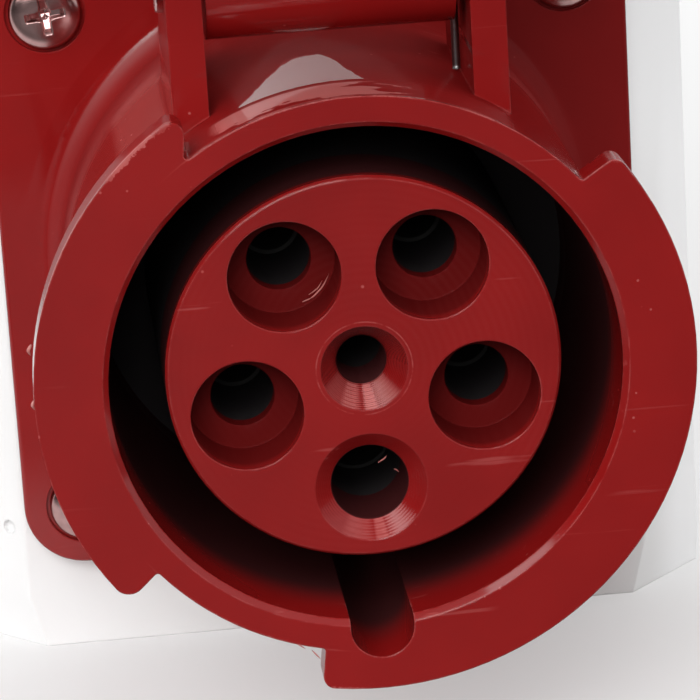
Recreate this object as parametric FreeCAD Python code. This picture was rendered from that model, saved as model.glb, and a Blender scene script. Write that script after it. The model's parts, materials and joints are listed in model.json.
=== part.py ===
import FreeCAD, Part
import math
import os
from FreeCAD import Vector

# Industrial wall socket: five round pins and a pilot, round barrel with a notched locking flange,
# hinged lid with a turning lock ring, on a surface wall box with its cable gland on top.
# Millimetres. X to the right, Z up, the wall is the plane Y = 0 and the plug comes in from -Y.
# The origin is where the socket's axis meets the wall.

# Wall box
box_width = 122.0
box_height = 193.0
base_depth = 46.0
cover_depth = 14.0
box_wall = 3.0
corner_chamfer = 10.5
axis_above_bottom = 65.4
corner_facet_height = 9.4
corner_facet_tilt = 10.0
box_edge_round = 1.2
dimple_radius = 1.15
dimple_depth = 0.8
dimple_from_fold = 2.2
dimple_heights = (-9.2, -45.1)

# Seal between the base and the cover
rim_seal_width = 1.4
rim_seal_height = 1.2

# Wall fixing and cover screws
wall_hole_radius = 3.0
wall_hole_spacing_x = 100.0
wall_hole_spacing_z = 157.0
wall_boss_radius = 7.0
wall_boss_height = 2.0
cover_screw_radius = 2.0
cover_screw_head_radius = 3.6
cover_screw_head_height = 2.8
cover_screw_grip = 12.0
cover_screw_end_gap = 1.0
cover_screw_head_round = 0.6
cover_screw_head_gap = 0.4
cover_screw_shank_gap = 0.3
cover_cross_length = 4.0
cover_cross_width = 0.9
cover_cross_depth = 1.4
self_cut_clearance = 0.05
cover_tube_wall = 2.4
cover_tube_floor = 3.0
cover_screw_edge = 8.4
cover_screw_top_x = 42.0

# Socket plate
plate_margin = 4.0
plate_thickness = 3.2
plate_corner_radius = 9.7
plate_edge_round = 0.7
gasket_thickness = 0.8
gasket_inset = 2.5
plate_screw_inset = 9.75
plate_hole_radius = 2.75
plate_recess_radius = 6.2
plate_recess_depth = 0.8
plate_screw_head_radius = 5.6
plate_screw_head_height = 2.7
plate_screw_head_rim = 0.9
plate_screw_shoulder_reach = 0.62
plate_screw_shoulder_rise = 0.88
plate_screw_radius = 2.1
plate_screw_length = 13.0
screw_boss_radius = 5.0
screw_boss_length = 14.0
screw_boss_floor = 1.0
recess_cross_length = 5.8
recess_cross_width = 1.2
recess_cross_depth = 1.5

# Barrel, its locking flange and the key slot
barrel_length = 70.5
bore_radius = 36.5
barrel_wall = 4.1
collar_wall = 4.5
collar_length = 10.0
collar_step_length = 0.4
mouth_chamfer = 0.85
bore_depth = 60.0
barrel_blend = 3.8
flange_lip = 6.0
flange_thickness = 5.0
flange_root_round = 0.5
# The flange's full-radius stretches: at each end the angle of the tip, the angle of the flank's root
# and the round of the tip
flange_stretches = (((119.4, 125.3, 1.8), (220.0, 219.6, 2.4)), ((258.8, 258.2, 1.8), (398.9, 399.8, 1.8)))
key_half_width = 4.6
key_centre_beyond_bore = 1.1
key_wall = 2.2
seat_step = 2.1
skirt_wall = 7.4
skirt_length = 10.3
opening_clearance = 0.6

# Contact carrier: the red insert in front, the black core behind it, and its back plate
insert_gap = 8.2
insert_recess = 4.85
insert_floor = 2.55
insert_edge_chamfer = 0.4
carrier_flange_thickness = 6.0
carrier_neck_beyond_insert = 1.7
fit_clearance = 0.2
pin_circle_radius = 17.9
line_angles = (54.0, 126.0, 198.0)
neutral_angle = 342.0
earth_angle = 270.0
counterbore_radius = 8.1
counterbore_depth = 9.6
line_hole_radius = 4.65
earth_cone_depth = 2.4
earth_hole_radius = 5.55
pilot_cone_radius = 6.27
pilot_cone_depth = 4.6
pilot_hole_radius = 3.55
back_plate_thickness = 5.0
carrier_screw_beyond_seat = 3.7
carrier_screw_angles = (30.0, 150.0, 270.0)
carrier_screw_radius = 1.6
carrier_screw_length = 13.0
carrier_screw_head_radius = 3.0
carrier_screw_head_height = 2.0
carrier_screw_slot_width = 0.8
carrier_screw_slot_depth = 1.0
carrier_screw_end_gap = 0.5

# Contact sleeves: bore radius, sleeve wall, start behind the mouth and bore length
line_pin_bore = 4.03
earth_pin_bore = 5.03
pilot_pin_bore = 3.03
sleeve_wall = 1.35
line_start = 33.0
earth_start = 29.0
pilot_start = 42.0
line_bore_length = 24.0
earth_bore_length = 28.0
pilot_bore_length = 24.0
sleeve_slit_width = 0.7
sleeve_slit_length = 12.0
collar_extra_radius = 1.6
collar_thickness = 5.0
ring_thickness = 0.6
ring_width = 7.0
ring_set_back = 2.5
ring_gap = 1.2
terminal_length = 17.0
terminal_extra_radius = 0.8
wire_bore_radius = 4.1
pilot_wire_radius = 1.9
wire_bore_depth = 13.0
terminal_screw_radius = 2.2
pilot_screw_radius = 1.3
terminal_screw_from_end = 6.0
terminal_screw_proud = 2.4
terminal_slot_length = 8.0
terminal_slot_width = 0.8
terminal_slot_depth = 1.0

# Hinge
hinge_above_flange = 6.5
hinge_set_back = 24.0
ear_inner = 18.9
ear_thickness = 5.1
ear_half_length = 9.0
ear_foot_length = 14.0
ear_root_sink = 2.2
hinge_pin_radius = 2.5
hinge_head_radius = 4.0
hinge_head_thickness = 1.2
hinge_pin_tail = 1.9
hinge_head_round = 0.4
pin_groove_depth = 0.4
clip_thickness = 0.8
clip_radius = 4.4
clip_gap = 0.3
clip_mouth_inset = 0.6
knuckle_radius = 8.3
knuckle_bore_clearance = 0.08
knuckle_left_gap = 0.6
knuckle_right_gap = 1.7
spring_wire_radius = 0.6
spring_coil_radius = 3.7
spring_pocket_radius = 5.2
spring_pocket_depth = 9.0
spring_turns = 8
spring_turn_overlap = 0.1
spring_leg_reach = 0.3

# Lid, drawn closed and then swung open
lid_open_angle = 120.0
seal_gap = 0.3
seal_inset = 1.4
seal_thickness = 4.5
lid_rim_inset = 0.4
lid_rim_front = 7.2
lid_rim_back = 3.6
hub_inset = 0.3
hub_front = 13.0
hub_wall = 2.6
hub_crown = 1.6
hub_crown_shoulder = 0.8
hub_edge_reach = 2.0
hub_edge_drop = 1.2
hub_inner_bevel = 1.0
hub_lip_bevel = 0.8
lid_rim_bevel = 0.6
arm_root_share = 0.86
arm_above_collar = 2.6
arm_thickness = 6.9

# Lock ring and the snap ring that holds it on the lid
ring_running_gap = 0.3
lock_web_thickness = 2.9
lock_edge_bevel = 1.6
lock_skirt_gap = 3.3
lock_skirt_wall = 4.2
lock_skirt_behind = 11.5
lug_above_collar = 2.4
lug_thickness = 4.6
lug_root_sink = 0.5
lug_behind_flange = 0.7
lug_arcs = ((43.5, 60.5), (225.5, 252.0))
lock_turn = 37.0
window_margin = 1.5
grip_count = 20
grip_radius = 5.0
grip_depth = 1.3
grip_from_front = 2.6
snap_groove_depth = 1.2
snap_thickness = 1.5
snap_width = 3.2
snap_gap_width = 9.0

# Cable gland
gland_y = -25.0
gland_thread_radius = 16.0
gland_hex_flats = 38.0
gland_hex_height = 8.0
gland_bore_radius = 12.8
gland_thread_below = 13.0
gland_thread_above = 12.0
gland_washer_thickness = 1.5
gland_washer_radius = 20.0
locknut_flats = 40.0
locknut_height = 6.0
gland_seal_radius = 11.0
gland_seal_height = 11.0
gland_seal_wall = 2.9
gland_nut_height = 13.0
gland_dome_height = 6.0
gland_dome_wall = 2.5
gland_nut_shoulder = 1.0
gland_nut_drop = 2.0
gland_seal_proud = 1.0
gland_thread_clearance = 0.1

# Sizes and places worked out from the sizes above
box_depth = base_depth + cover_depth
front_width = box_width - 2.0 * corner_chamfer
barrel_radius = bore_radius + barrel_wall
collar_radius = bore_radius + collar_wall
flange_radius = collar_radius + flange_lip
seat_radius = bore_radius + seat_step
skirt_radius = seat_radius + skirt_wall
plate_size = 2.0 * (skirt_radius + plate_margin)
plate_screw_spacing = plate_size - 2.0 * plate_screw_inset
key_centre_radius = bore_radius + key_centre_beyond_bore
insert_radius = bore_radius - insert_gap
carrier_neck_radius = insert_radius + carrier_neck_beyond_insert
carrier_screw_circle = seat_radius + carrier_screw_beyond_seat
hinge_height = flange_radius + hinge_above_flange
ear_root_radius = barrel_radius - ear_root_sink
seal_inner_radius = bore_radius + seal_inset
seal_outer_radius = flange_radius - seal_inset
lid_rim_radius = flange_radius - lid_rim_inset
hub_radius = bore_radius - hub_inset
arm_underside = collar_radius + arm_above_collar
lock_skirt_inner = flange_radius + lock_skirt_gap
lug_inner_radius = collar_radius + lug_above_collar
snap_outer_radius = hub_radius + snap_width
bottom_z = -axis_above_bottom
top_z = bottom_z + box_height
middle_z = (bottom_z + top_z) / 2.0
half_width = box_width / 2.0
half_front = front_width / 2.0
face_y = -box_depth
parting_y = -base_depth
plate_back_y = face_y - gasket_thickness
plate_front_y = plate_back_y - plate_thickness
mouth_y = plate_front_y - barrel_length
skirt_end_y = plate_back_y + skirt_length
bore_end_y = mouth_y + bore_depth
insert_front_y = mouth_y + insert_recess
insert_back_y = insert_front_y + counterbore_depth + insert_floor
back_plate_end_y = skirt_end_y + back_plate_thickness
hinge_y = mouth_y + hinge_set_back
ear_outer = ear_inner + ear_thickness
opening_radius = skirt_radius + opening_clearance

# How far a cutter reaches past the face it opens
overshoot = 1.0

# How near two places are taken as one
touch = 0.01

X_AXIS = Vector(1, 0, 0)
Y_AXIS = Vector(0, 1, 0)
Z_AXIS = Vector(0, 0, 1)
ORIGIN = Vector(0, 0, 0)
HINGE = Vector(0, hinge_y, hinge_height)


def rod_y(radius, start, end, x=0.0, z=0.0):
    """A cylinder along Y."""
    return Part.makeCylinder(radius, end - start, Vector(x, start, z), Y_AXIS)


def rod_x(radius, start, end, y, z):
    """A cylinder along X."""
    return Part.makeCylinder(radius, end - start, Vector(start, y, z), X_AXIS)


def rod_z(radius, start, end, x, y):
    """A cylinder along Z."""
    return Part.makeCylinder(radius, end - start, Vector(x, y, start), Z_AXIS)


def block(low, high):
    """A box between two corners."""
    size = [b - a for a, b in zip(low, high)]
    return Part.makeBox(size[0], size[1], size[2], Vector(*low))


def prism(points, direction):
    """A closed outline pushed along a direction."""
    wire = Part.makePolygon(points + [points[0]])
    return Part.Face(wire).extrude(direction)


def turned(profile, x=0.0, z=0.0):
    """A solid turned about an axis along Y; the profile is a list of (radius, y) corners."""
    points = [Vector(x + radius, y, z) for radius, y in profile]
    face = Part.Face(Part.makePolygon(points + [points[0]]))
    return face.revolve(Vector(x, 0, z), Y_AXIS, 360)


def tube_y(inner, outer, start, end, x=0.0, z=0.0):
    """A tube along Y."""
    return turned([(inner, start), (outer, start), (outer, end), (inner, end)], x, z)


def rounded_square(size, radius, start, end):
    """A square plate with round corners, its faces across Y."""
    half = size / 2.0
    plate = block((-half, start, -half), (half, end, half))
    upright = [edge for edge in plate.Edges if abs(edge.tangentAt(0).y) > 0.9]
    return plate.makeFillet(radius, upright)


def polar(radius, angle, y=0.0):
    """The point at a radius and an angle about the socket's axis, counted from +X towards +Z."""
    return Vector(radius * math.cos(math.radians(angle)), y, radius * math.sin(math.radians(angle)))


def sector(inner, outer, start_angle, end_angle, start, end):
    """A piece of a tube about the socket's axis, between two angles."""
    ring = tube_y(inner, outer, start, end)
    middle = (start_angle + end_angle) / 2.0
    reach = outer * 1.5
    wedge = Part.Face(Part.makePolygon([
        Vector(0, start, 0), polar(reach, start_angle, start), polar(reach * 1.4, middle, start),
        polar(reach, end_angle, start), Vector(0, start, 0)]))
    return ring.common(wedge.extrude(Vector(0, end - start, 0)))


def screw_places():
    """The four screw centres of the socket plate."""
    half = plate_screw_spacing / 2.0
    return [(x, z) for x in (-half, half) for z in (-half, half)]


def cover_screw_places():
    """The cover's screws: one below the socket, two in the top corners."""
    return [(0.0, bottom_z + cover_screw_edge),
            (-cover_screw_top_x, top_z - cover_screw_edge),
            (cover_screw_top_x, top_z - cover_screw_edge)]


def cross_recess(x, y, z, length, width, depth):
    """The cutter of a cross recess that opens towards -Y."""
    half, thin = length / 2.0, width / 2.0
    flat = block((x - half, y, z - thin), (x + half, y + depth, z + thin))
    return flat.fuse(block((x - thin, y, z - half), (x + thin, y + depth, z + half)))


def box_outline(inset, front, back):
    """The box's outline seen from above, cut back by an inset, between two depths."""
    side = half_width - inset
    nose = half_front - inset * math.tan(math.radians(22.5))
    shoulder = front + side - nose
    return [Vector(-side, back, 0), Vector(-side, shoulder, 0), Vector(-nose, front, 0),
            Vector(nose, front, 0), Vector(side, shoulder, 0), Vector(side, back, 0)]


def raised(points, low, high):
    """An outline in plan, pushed up from one height to another."""
    return prism([Vector(p.x, p.y, low) for p in points], Vector(0, 0, high - low))


def corner_facet(side, end):
    """The wedge that leans the chamfered corner inwards near an end of the box."""
    edge_z = bottom_z if end < 0 else top_z
    rise = corner_facet_height * math.tan(math.radians(corner_facet_tilt))
    along = Vector(side, 1, 0).normalize()
    outward = Vector(side, -1, 0).normalize()
    corner = Vector(side * half_front, face_y, 0) - along * box_width
    lip = Vector(corner.x, corner.y, edge_z)
    top = Vector(corner.x, corner.y, edge_z - end * corner_facet_height)
    wedge = [top, lip - outward * rise, lip + outward * rise, top + outward * rise]
    return prism(wedge, along * (2.0 * box_width))


def box_cover():
    shell = raised(box_outline(0.0, face_y, parting_y), bottom_z, top_z)
    folds = [edge for edge in shell.Edges
             if edge.BoundBox.ZLength > box_wall and edge.BoundBox.YMax < parting_y - box_wall]
    shell = shell.makeFillet(box_edge_round, folds)
    for side in (-1, 1):
        for end in (-1, 1):
            shell = shell.cut(corner_facet(side, end))
    hollow = box_outline(box_wall, face_y + box_wall, parting_y)
    shell = shell.cut(raised(hollow, bottom_z + box_wall, top_z - box_wall))
    for x, z in screw_places():
        shell = shell.fuse(rod_y(screw_boss_radius, face_y + box_wall / 2.0,
                                 face_y + screw_boss_length, x, z))
    for x, z in cover_screw_places():
        radius = cover_screw_head_radius + cover_tube_wall
        shell = shell.fuse(rod_y(radius, face_y + box_wall / 2.0, parting_y, x, z))
    shell = shell.cut(rod_y(opening_radius, face_y - overshoot, parting_y))
    for x, z in screw_places():
        shell = shell.cut(rod_y(plate_screw_radius + self_cut_clearance, face_y - overshoot,
                                face_y + screw_boss_length - screw_boss_floor, x, z))
    for x, z in cover_screw_places():
        shell = shell.cut(rod_y(cover_screw_head_radius + cover_screw_head_gap, face_y - overshoot,
                                parting_y - cover_tube_floor, x, z))
        shell = shell.cut(rod_y(cover_screw_radius + cover_screw_shank_gap, face_y,
                                parting_y + overshoot, x, z))
    inward = Vector(1, 1, 0).normalize()
    for height in dimple_heights:
        mouth = Vector(-half_front - dimple_from_fold, face_y + dimple_from_fold, height)
        shell = shell.cut(Part.makeCylinder(dimple_radius, overshoot + dimple_depth,
                                            mouth - inward * overshoot, inward))
    return shell.removeSplitter()


def rim_loop(inner_inset, outer_inset, start, end):
    """A rectangular loop that follows the box's rim."""
    outer = block((-half_width + outer_inset, start, bottom_z + outer_inset),
                  (half_width - outer_inset, end, top_z - outer_inset))
    return outer.cut(block((-half_width + inner_inset, start - overshoot, bottom_z + inner_inset),
                           (half_width - inner_inset, end + overshoot, top_z - inner_inset)))


def rim_seal(extra=0.0):
    inset = (box_wall - rim_seal_width) / 2.0
    return rim_loop(inset + rim_seal_width, inset, parting_y - extra, parting_y + rim_seal_height)


def wall_hole_places():
    half_x, half_z = wall_hole_spacing_x / 2.0, wall_hole_spacing_z / 2.0
    return [(x, middle_z + z) for x in (-half_x, half_x) for z in (-half_z, half_z)]


def back_box():
    tray = block((-half_width, parting_y, bottom_z), (half_width, 0.0, top_z))
    long_edges = [edge for edge in tray.Edges if abs(edge.tangentAt(0).y) > 0.9]
    tray = tray.makeFillet(box_edge_round, long_edges)
    tray = tray.cut(block((-half_width + box_wall, parting_y - overshoot, bottom_z + box_wall),
                          (half_width - box_wall, -box_wall, top_z - box_wall)))
    for x, z in cover_screw_places():
        tray = tray.fuse(rod_y(cover_screw_head_radius + cover_tube_wall, parting_y, -box_wall, x, z))
    for x, z in wall_hole_places():
        tray = tray.fuse(rod_y(wall_boss_radius, -box_wall - wall_boss_height, -box_wall, x, z))
    tray = tray.cut(rim_seal(extra=overshoot))
    for x, z in cover_screw_places():
        tray = tray.cut(rod_y(cover_screw_radius + self_cut_clearance, parting_y - overshoot,
                              parting_y + cover_screw_grip, x, z))
    for x, z in wall_hole_places():
        tray = tray.cut(rod_y(wall_hole_radius, -box_wall - wall_boss_height - overshoot, overshoot, x, z))
    tray = tray.cut(rod_z(gland_thread_radius + gland_thread_clearance, top_z - box_wall - overshoot,
                          top_z + overshoot, 0.0, gland_y))
    return tray.removeSplitter()


def cover_screw(x, z):
    seat_y = parting_y - cover_tube_floor
    head = rod_y(cover_screw_head_radius, seat_y - cover_screw_head_height, seat_y, x, z)
    front = [edge for edge in head.Edges if edge.BoundBox.YMax < seat_y - cover_screw_head_height + touch]
    head = head.makeFillet(cover_screw_head_round, front)
    shank = rod_y(cover_screw_radius, seat_y, parting_y + cover_screw_grip - cover_screw_end_gap, x, z)
    recess = cross_recess(x, seat_y - cover_screw_head_height, z, cover_cross_length, cover_cross_width,
                          cover_cross_depth)
    return head.fuse(shank).cut(recess)


def flange_gasket():
    sheet = rounded_square(plate_size - 2.0 * gasket_inset, plate_corner_radius - gasket_inset,
                           plate_back_y, face_y)
    sheet = sheet.cut(rod_y(opening_radius, plate_back_y - overshoot, face_y + overshoot))
    for x, z in screw_places():
        sheet = sheet.cut(rod_y(plate_hole_radius, plate_back_y - overshoot, face_y + overshoot, x, z))
    return sheet


def flange_outline():
    """The notched outline of the locking flange, full radius on its stated stretches."""
    edges = []
    for index, (first, last) in enumerate(flange_stretches):
        following = flange_stretches[(index + 1) % len(flange_stretches)][0]
        full_turn = 360.0 if following[0] < last[0] else 0.0
        tip_a, tip_b = polar(flange_radius, first[0]), polar(flange_radius, last[0])
        middle = polar(flange_radius, (first[0] + last[0]) / 2.0)
        edges.append(Part.Arc(tip_a, middle, tip_b).toShape())
        root_a, root_b = polar(collar_radius, last[1]), polar(collar_radius, following[1])
        edges.append(Part.LineSegment(tip_b, root_a).toShape())
        middle = polar(collar_radius, (last[1] + following[1] + full_turn) / 2.0)
        edges.append(Part.Arc(root_a, middle, root_b).toShape())
        edges.append(Part.LineSegment(root_b, polar(flange_radius, following[0])).toShape())
    return Part.Wire(Part.__sortEdges__(edges))


def edges_at(shape, point):
    """The edges along Y that pass a point of the outline."""
    return [edge for edge in shape.Edges
            if abs(edge.tangentAt(edge.FirstParameter).y) > 0.9
            and math.hypot(edge.CenterOfMass.x - point.x, edge.CenterOfMass.z - point.z) < touch]


def locking_flange():
    plate = Part.Face(flange_outline()).extrude(Vector(0, flange_thickness, 0))
    plate.translate(Vector(0, mouth_y, 0))
    for stretch in flange_stretches:
        for tip_angle, root_angle, tip_round in stretch:
            plate = plate.makeFillet(tip_round, edges_at(plate, polar(flange_radius, tip_angle)))
            plate = plate.makeFillet(flange_root_round, edges_at(plate, polar(collar_radius, root_angle)))
    return plate


def barrel_shell():
    """The barrel with its blend to the plate, turned in one profile with an arc."""
    blend_y = plate_front_y - barrel_blend
    corners = [Vector(bore_radius, mouth_y, 0), Vector(collar_radius, mouth_y, 0),
               Vector(collar_radius, mouth_y + collar_length, 0),
               Vector(barrel_radius, mouth_y + collar_length + collar_step_length, 0),
               Vector(barrel_radius, blend_y, 0)]
    edges = [Part.LineSegment(a, b).toShape() for a, b in zip(corners, corners[1:])]
    quarter = barrel_blend * (1.0 - math.sqrt(0.5))
    foot = Vector(barrel_radius + barrel_blend, plate_front_y, 0)
    middle = Vector(barrel_radius + quarter, plate_front_y - quarter, 0)
    edges.append(Part.Arc(corners[-1], middle, foot).toShape())
    rest = [foot, Vector(barrel_radius + barrel_blend, plate_back_y, 0),
            Vector(bore_radius, plate_back_y, 0), corners[0]]
    edges += [Part.LineSegment(a, b).toShape() for a, b in zip(rest, rest[1:])]
    return Part.Face(Part.Wire(edges)).revolve(ORIGIN, Y_AXIS, 360)


def hinge_ear(side):
    """One hinge ear: upright front, round top about the pin, sloping back to a long foot."""
    start = min(side * ear_inner, side * ear_outer)
    front, back = hinge_y - ear_half_length, hinge_y + ear_half_length
    outline = [Vector(start, front, 0), Vector(start, front, hinge_height),
               Vector(start, back, hinge_height), Vector(start, back + ear_foot_length, barrel_radius),
               Vector(start, back + ear_foot_length, 0)]
    ear = prism(outline, Vector(ear_thickness, 0, 0))
    ear = ear.fuse(rod_x(ear_half_length, start, start + ear_thickness, hinge_y, hinge_height))
    return ear.cut(rod_y(ear_root_radius, mouth_y, plate_front_y))


def socket_body():
    body = rounded_square(plate_size, plate_corner_radius, plate_front_y, plate_back_y)
    front_edges = [edge for edge in body.Edges if edge.BoundBox.YMax < plate_front_y + touch]
    body = body.makeFillet(plate_edge_round, front_edges)
    body = body.fuse(rod_y(skirt_radius, plate_back_y, skirt_end_y))
    body = body.fuse(barrel_shell())
    body = body.fuse(locking_flange())
    rib = rod_y(key_half_width + key_wall, mouth_y + flange_thickness / 2.0, plate_back_y,
                0.0, -key_centre_radius)
    body = body.fuse(rib)
    for side in (-1, 1):
        body = body.fuse(hinge_ear(side))
    mouth_radius = bore_radius + mouth_chamfer
    start_y, end_y = mouth_y - overshoot, skirt_end_y + overshoot
    body = body.cut(turned([(0.0, start_y), (mouth_radius, start_y), (mouth_radius, mouth_y),
                            (bore_radius, mouth_y + mouth_chamfer), (bore_radius, bore_end_y),
                            (seat_radius, bore_end_y), (seat_radius, end_y), (0.0, end_y)]))
    slot = rod_y(key_half_width, start_y, bore_end_y, 0.0, -key_centre_radius)
    slot = slot.fuse(block((-key_half_width, start_y, -key_centre_radius),
                           (key_half_width, bore_end_y, -insert_radius)))
    body = body.cut(slot)
    for x, z in screw_places():
        body = body.cut(rod_y(plate_hole_radius, plate_front_y - overshoot, plate_back_y + overshoot, x, z))
        body = body.cut(rod_y(plate_recess_radius, plate_front_y - overshoot,
                              plate_front_y + plate_recess_depth, x, z))
    for angle in carrier_screw_angles:
        place = polar(carrier_screw_circle, angle)
        tip_y = back_plate_end_y - carrier_screw_length
        body = body.cut(rod_y(carrier_screw_radius + self_cut_clearance, tip_y - carrier_screw_end_gap,
                              end_y, place.x, place.z))
    pin_hole = rod_x(hinge_pin_radius, -ear_outer - overshoot, ear_outer + overshoot, hinge_y, hinge_height)
    return body.cut(pin_hole).removeSplitter()


def flange_screw(x, z):
    seat_y = plate_front_y + plate_recess_depth
    rise = plate_screw_head_height
    top = Vector(x, seat_y - rise, z)
    side_low = Vector(x + plate_screw_head_radius, seat_y, z)
    side_high = Vector(x + plate_screw_head_radius, seat_y - plate_screw_head_rim, z)
    shoulder = Vector(x + plate_screw_head_radius * plate_screw_shoulder_reach,
                      seat_y - rise * plate_screw_shoulder_rise, z)
    tip_y = seat_y + plate_screw_length
    corners = [side_low, Vector(x + plate_screw_radius, seat_y, z), Vector(x + plate_screw_radius, tip_y, z),
               Vector(x, tip_y, z), top]
    edges = [Part.LineSegment(side_high, side_low).toShape()]
    edges += [Part.LineSegment(a, b).toShape() for a, b in zip(corners, corners[1:])]
    edges.append(Part.Arc(top, shoulder, side_high).toShape())
    screw = Part.Face(Part.Wire(edges)).revolve(Vector(x, 0, z), Y_AXIS, 360)
    return screw.cut(cross_recess(x, seat_y - rise, z, recess_cross_length, recess_cross_width,
                                  recess_cross_depth))


def line_places():
    return [polar(pin_circle_radius, angle) for angle in line_angles]


def contact_sizes():
    """Each contact's name, centre, bore radius, start, bore length and wire bore."""
    rows = [("line_contact_%d" % (index + 1), place, line_pin_bore, line_start, line_bore_length,
             wire_bore_radius) for index, place in enumerate(line_places())]
    rows.append(("neutral_contact", polar(pin_circle_radius, neutral_angle), line_pin_bore, line_start,
                 line_bore_length, wire_bore_radius))
    rows.append(("earth_contact", polar(pin_circle_radius, earth_angle), earth_pin_bore, earth_start,
                 earth_bore_length, wire_bore_radius))
    rows.append(("pilot_contact", Vector(0, 0, 0), pilot_pin_bore, pilot_start, pilot_bore_length,
                 pilot_wire_radius))
    return rows


def sleeve_radius(bore):
    return bore + sleeve_wall


def through_holes():
    """Each plug pin's way in through the insert and core: centre, radius and where its contact starts."""
    rows = [(place, line_hole_radius, mouth_y + line_start)
            for place in line_places() + [polar(pin_circle_radius, neutral_angle)]]
    rows.append((polar(pin_circle_radius, earth_angle), earth_hole_radius, mouth_y + earth_start))
    rows.append((Vector(0, 0, 0), pilot_hole_radius, mouth_y + pilot_start))
    return rows


def cone_cutter(place, mouth_radius, depth, hole_radius):
    """The cutter of a hole that opens in a cone at the insert's front."""
    return turned([(0.0, insert_front_y), (mouth_radius, insert_front_y),
                   (hole_radius, insert_front_y + depth), (hole_radius, insert_back_y + overshoot),
                   (0.0, insert_back_y + overshoot)], place.x, place.z)


def contact_carrier():
    """The red insert: stepped holes for the line pins, cones for the earth and pilot pins."""
    rim = insert_radius - insert_edge_chamfer
    insert = turned([(0.0, insert_front_y), (rim, insert_front_y),
                     (insert_radius, insert_front_y + insert_edge_chamfer), (insert_radius, insert_back_y),
                     (0.0, insert_back_y)])
    for place in line_places() + [polar(pin_circle_radius, neutral_angle)]:
        insert = insert.cut(rod_y(counterbore_radius, insert_front_y - overshoot,
                                  insert_front_y + counterbore_depth, place.x, place.z))
        insert = insert.cut(rod_y(line_hole_radius, insert_front_y, insert_back_y + overshoot,
                                  place.x, place.z))
    earth = polar(pin_circle_radius, earth_angle)
    insert = insert.cut(cone_cutter(earth, counterbore_radius, earth_cone_depth, earth_hole_radius))
    return insert.cut(cone_cutter(ORIGIN, pilot_cone_radius, pilot_cone_depth, pilot_hole_radius))


def carrier_core():
    """The black core behind the insert: it carries the contacts and seats against the barrel's step."""
    core = turned([(0.0, insert_back_y), (insert_radius, insert_back_y), (insert_radius, bore_end_y),
                   (seat_radius - fit_clearance, bore_end_y),
                   (seat_radius - fit_clearance, bore_end_y + carrier_flange_thickness),
                   (carrier_neck_radius, bore_end_y + carrier_flange_thickness),
                   (carrier_neck_radius, skirt_end_y), (0.0, skirt_end_y)])
    for place, radius, start_y in through_holes():
        core = core.cut(rod_y(radius, insert_back_y - overshoot, start_y + overshoot, place.x, place.z))
    for name, place, bore, start, length, wire in contact_sizes():
        seat = sleeve_radius(bore) + ring_thickness + fit_clearance
        collar = sleeve_radius(bore) + collar_extra_radius + fit_clearance
        core = core.cut(rod_y(seat, mouth_y + start, skirt_end_y + overshoot, place.x, place.z))
        core = core.cut(rod_y(collar, skirt_end_y - collar_thickness, skirt_end_y + overshoot,
                              place.x, place.z))
    return core


def carrier_back():
    plate = rod_y(skirt_radius, skirt_end_y, back_plate_end_y)
    for name, place, bore, start, length, wire in contact_sizes():
        hole = sleeve_radius(bore) + terminal_extra_radius + fit_clearance
        plate = plate.cut(rod_y(hole, skirt_end_y - overshoot, back_plate_end_y + overshoot,
                                place.x, place.z))
    for angle in carrier_screw_angles:
        place = polar(carrier_screw_circle, angle)
        plate = plate.cut(rod_y(carrier_screw_radius + fit_clearance, skirt_end_y - overshoot,
                                back_plate_end_y + overshoot, place.x, place.z))
    return plate


def carrier_screw(angle):
    place = polar(carrier_screw_circle, angle)
    shank = rod_y(carrier_screw_radius, back_plate_end_y - carrier_screw_length, back_plate_end_y,
                  place.x, place.z)
    head = rod_y(carrier_screw_head_radius, back_plate_end_y,
                 back_plate_end_y + carrier_screw_head_height, place.x, place.z)
    half = carrier_screw_slot_width / 2.0
    top_y = back_plate_end_y + carrier_screw_head_height
    slot = block((place.x - carrier_screw_head_radius, top_y - carrier_screw_slot_depth, place.z - half),
                 (place.x + carrier_screw_head_radius, top_y + overshoot, place.z + half))
    return shank.fuse(head).cut(slot)


def outward_angle(place):
    """The direction a terminal screw points: away from the axis, or up for the middle contact."""
    return math.degrees(math.atan2(place.z, place.x)) if place.Length > touch else 90.0


def terminal_screw(place, bore, wire, extra=0.0, from_wall=0.0):
    """The clamping screw of one terminal, or its hole with extra radius."""
    radius = (terminal_screw_radius if wire > pilot_wire_radius else pilot_screw_radius) + extra
    outside = sleeve_radius(bore) + terminal_extra_radius
    y = skirt_end_y + back_plate_thickness + terminal_length - terminal_screw_from_end
    direction = polar(1.0, outward_angle(place))
    start = Vector(place.x, y, place.z) + direction * (wire - from_wall)
    return Part.makeCylinder(radius, outside - wire + from_wall + terminal_screw_proud, start, direction)


def contact(place, bore, start, length, wire):
    """A brass contact: slit sleeve in front, collar, and a screw terminal behind the back plate."""
    outer = sleeve_radius(bore)
    rear = outer + terminal_extra_radius
    start_y = mouth_y + start
    end_y = back_plate_end_y + terminal_length
    body = turned([(bore, start_y), (outer, start_y), (outer, skirt_end_y - collar_thickness),
                   (outer + collar_extra_radius, skirt_end_y - collar_thickness),
                   (outer + collar_extra_radius, skirt_end_y), (rear, skirt_end_y), (rear, end_y),
                   (wire, end_y), (wire, end_y - wire_bore_depth), (0.0, end_y - wire_bore_depth),
                   (0.0, start_y + length), (bore, start_y + length)], place.x, place.z)
    reach, half = outer + overshoot, sleeve_slit_width / 2.0
    slit = block((place.x - reach, start_y - overshoot, place.z - half),
                 (place.x + reach, start_y + sleeve_slit_length, place.z + half))
    hole = terminal_screw(place, bore, wire, extra=self_cut_clearance, from_wall=overshoot)
    return body.cut(slit).cut(hole)


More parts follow.
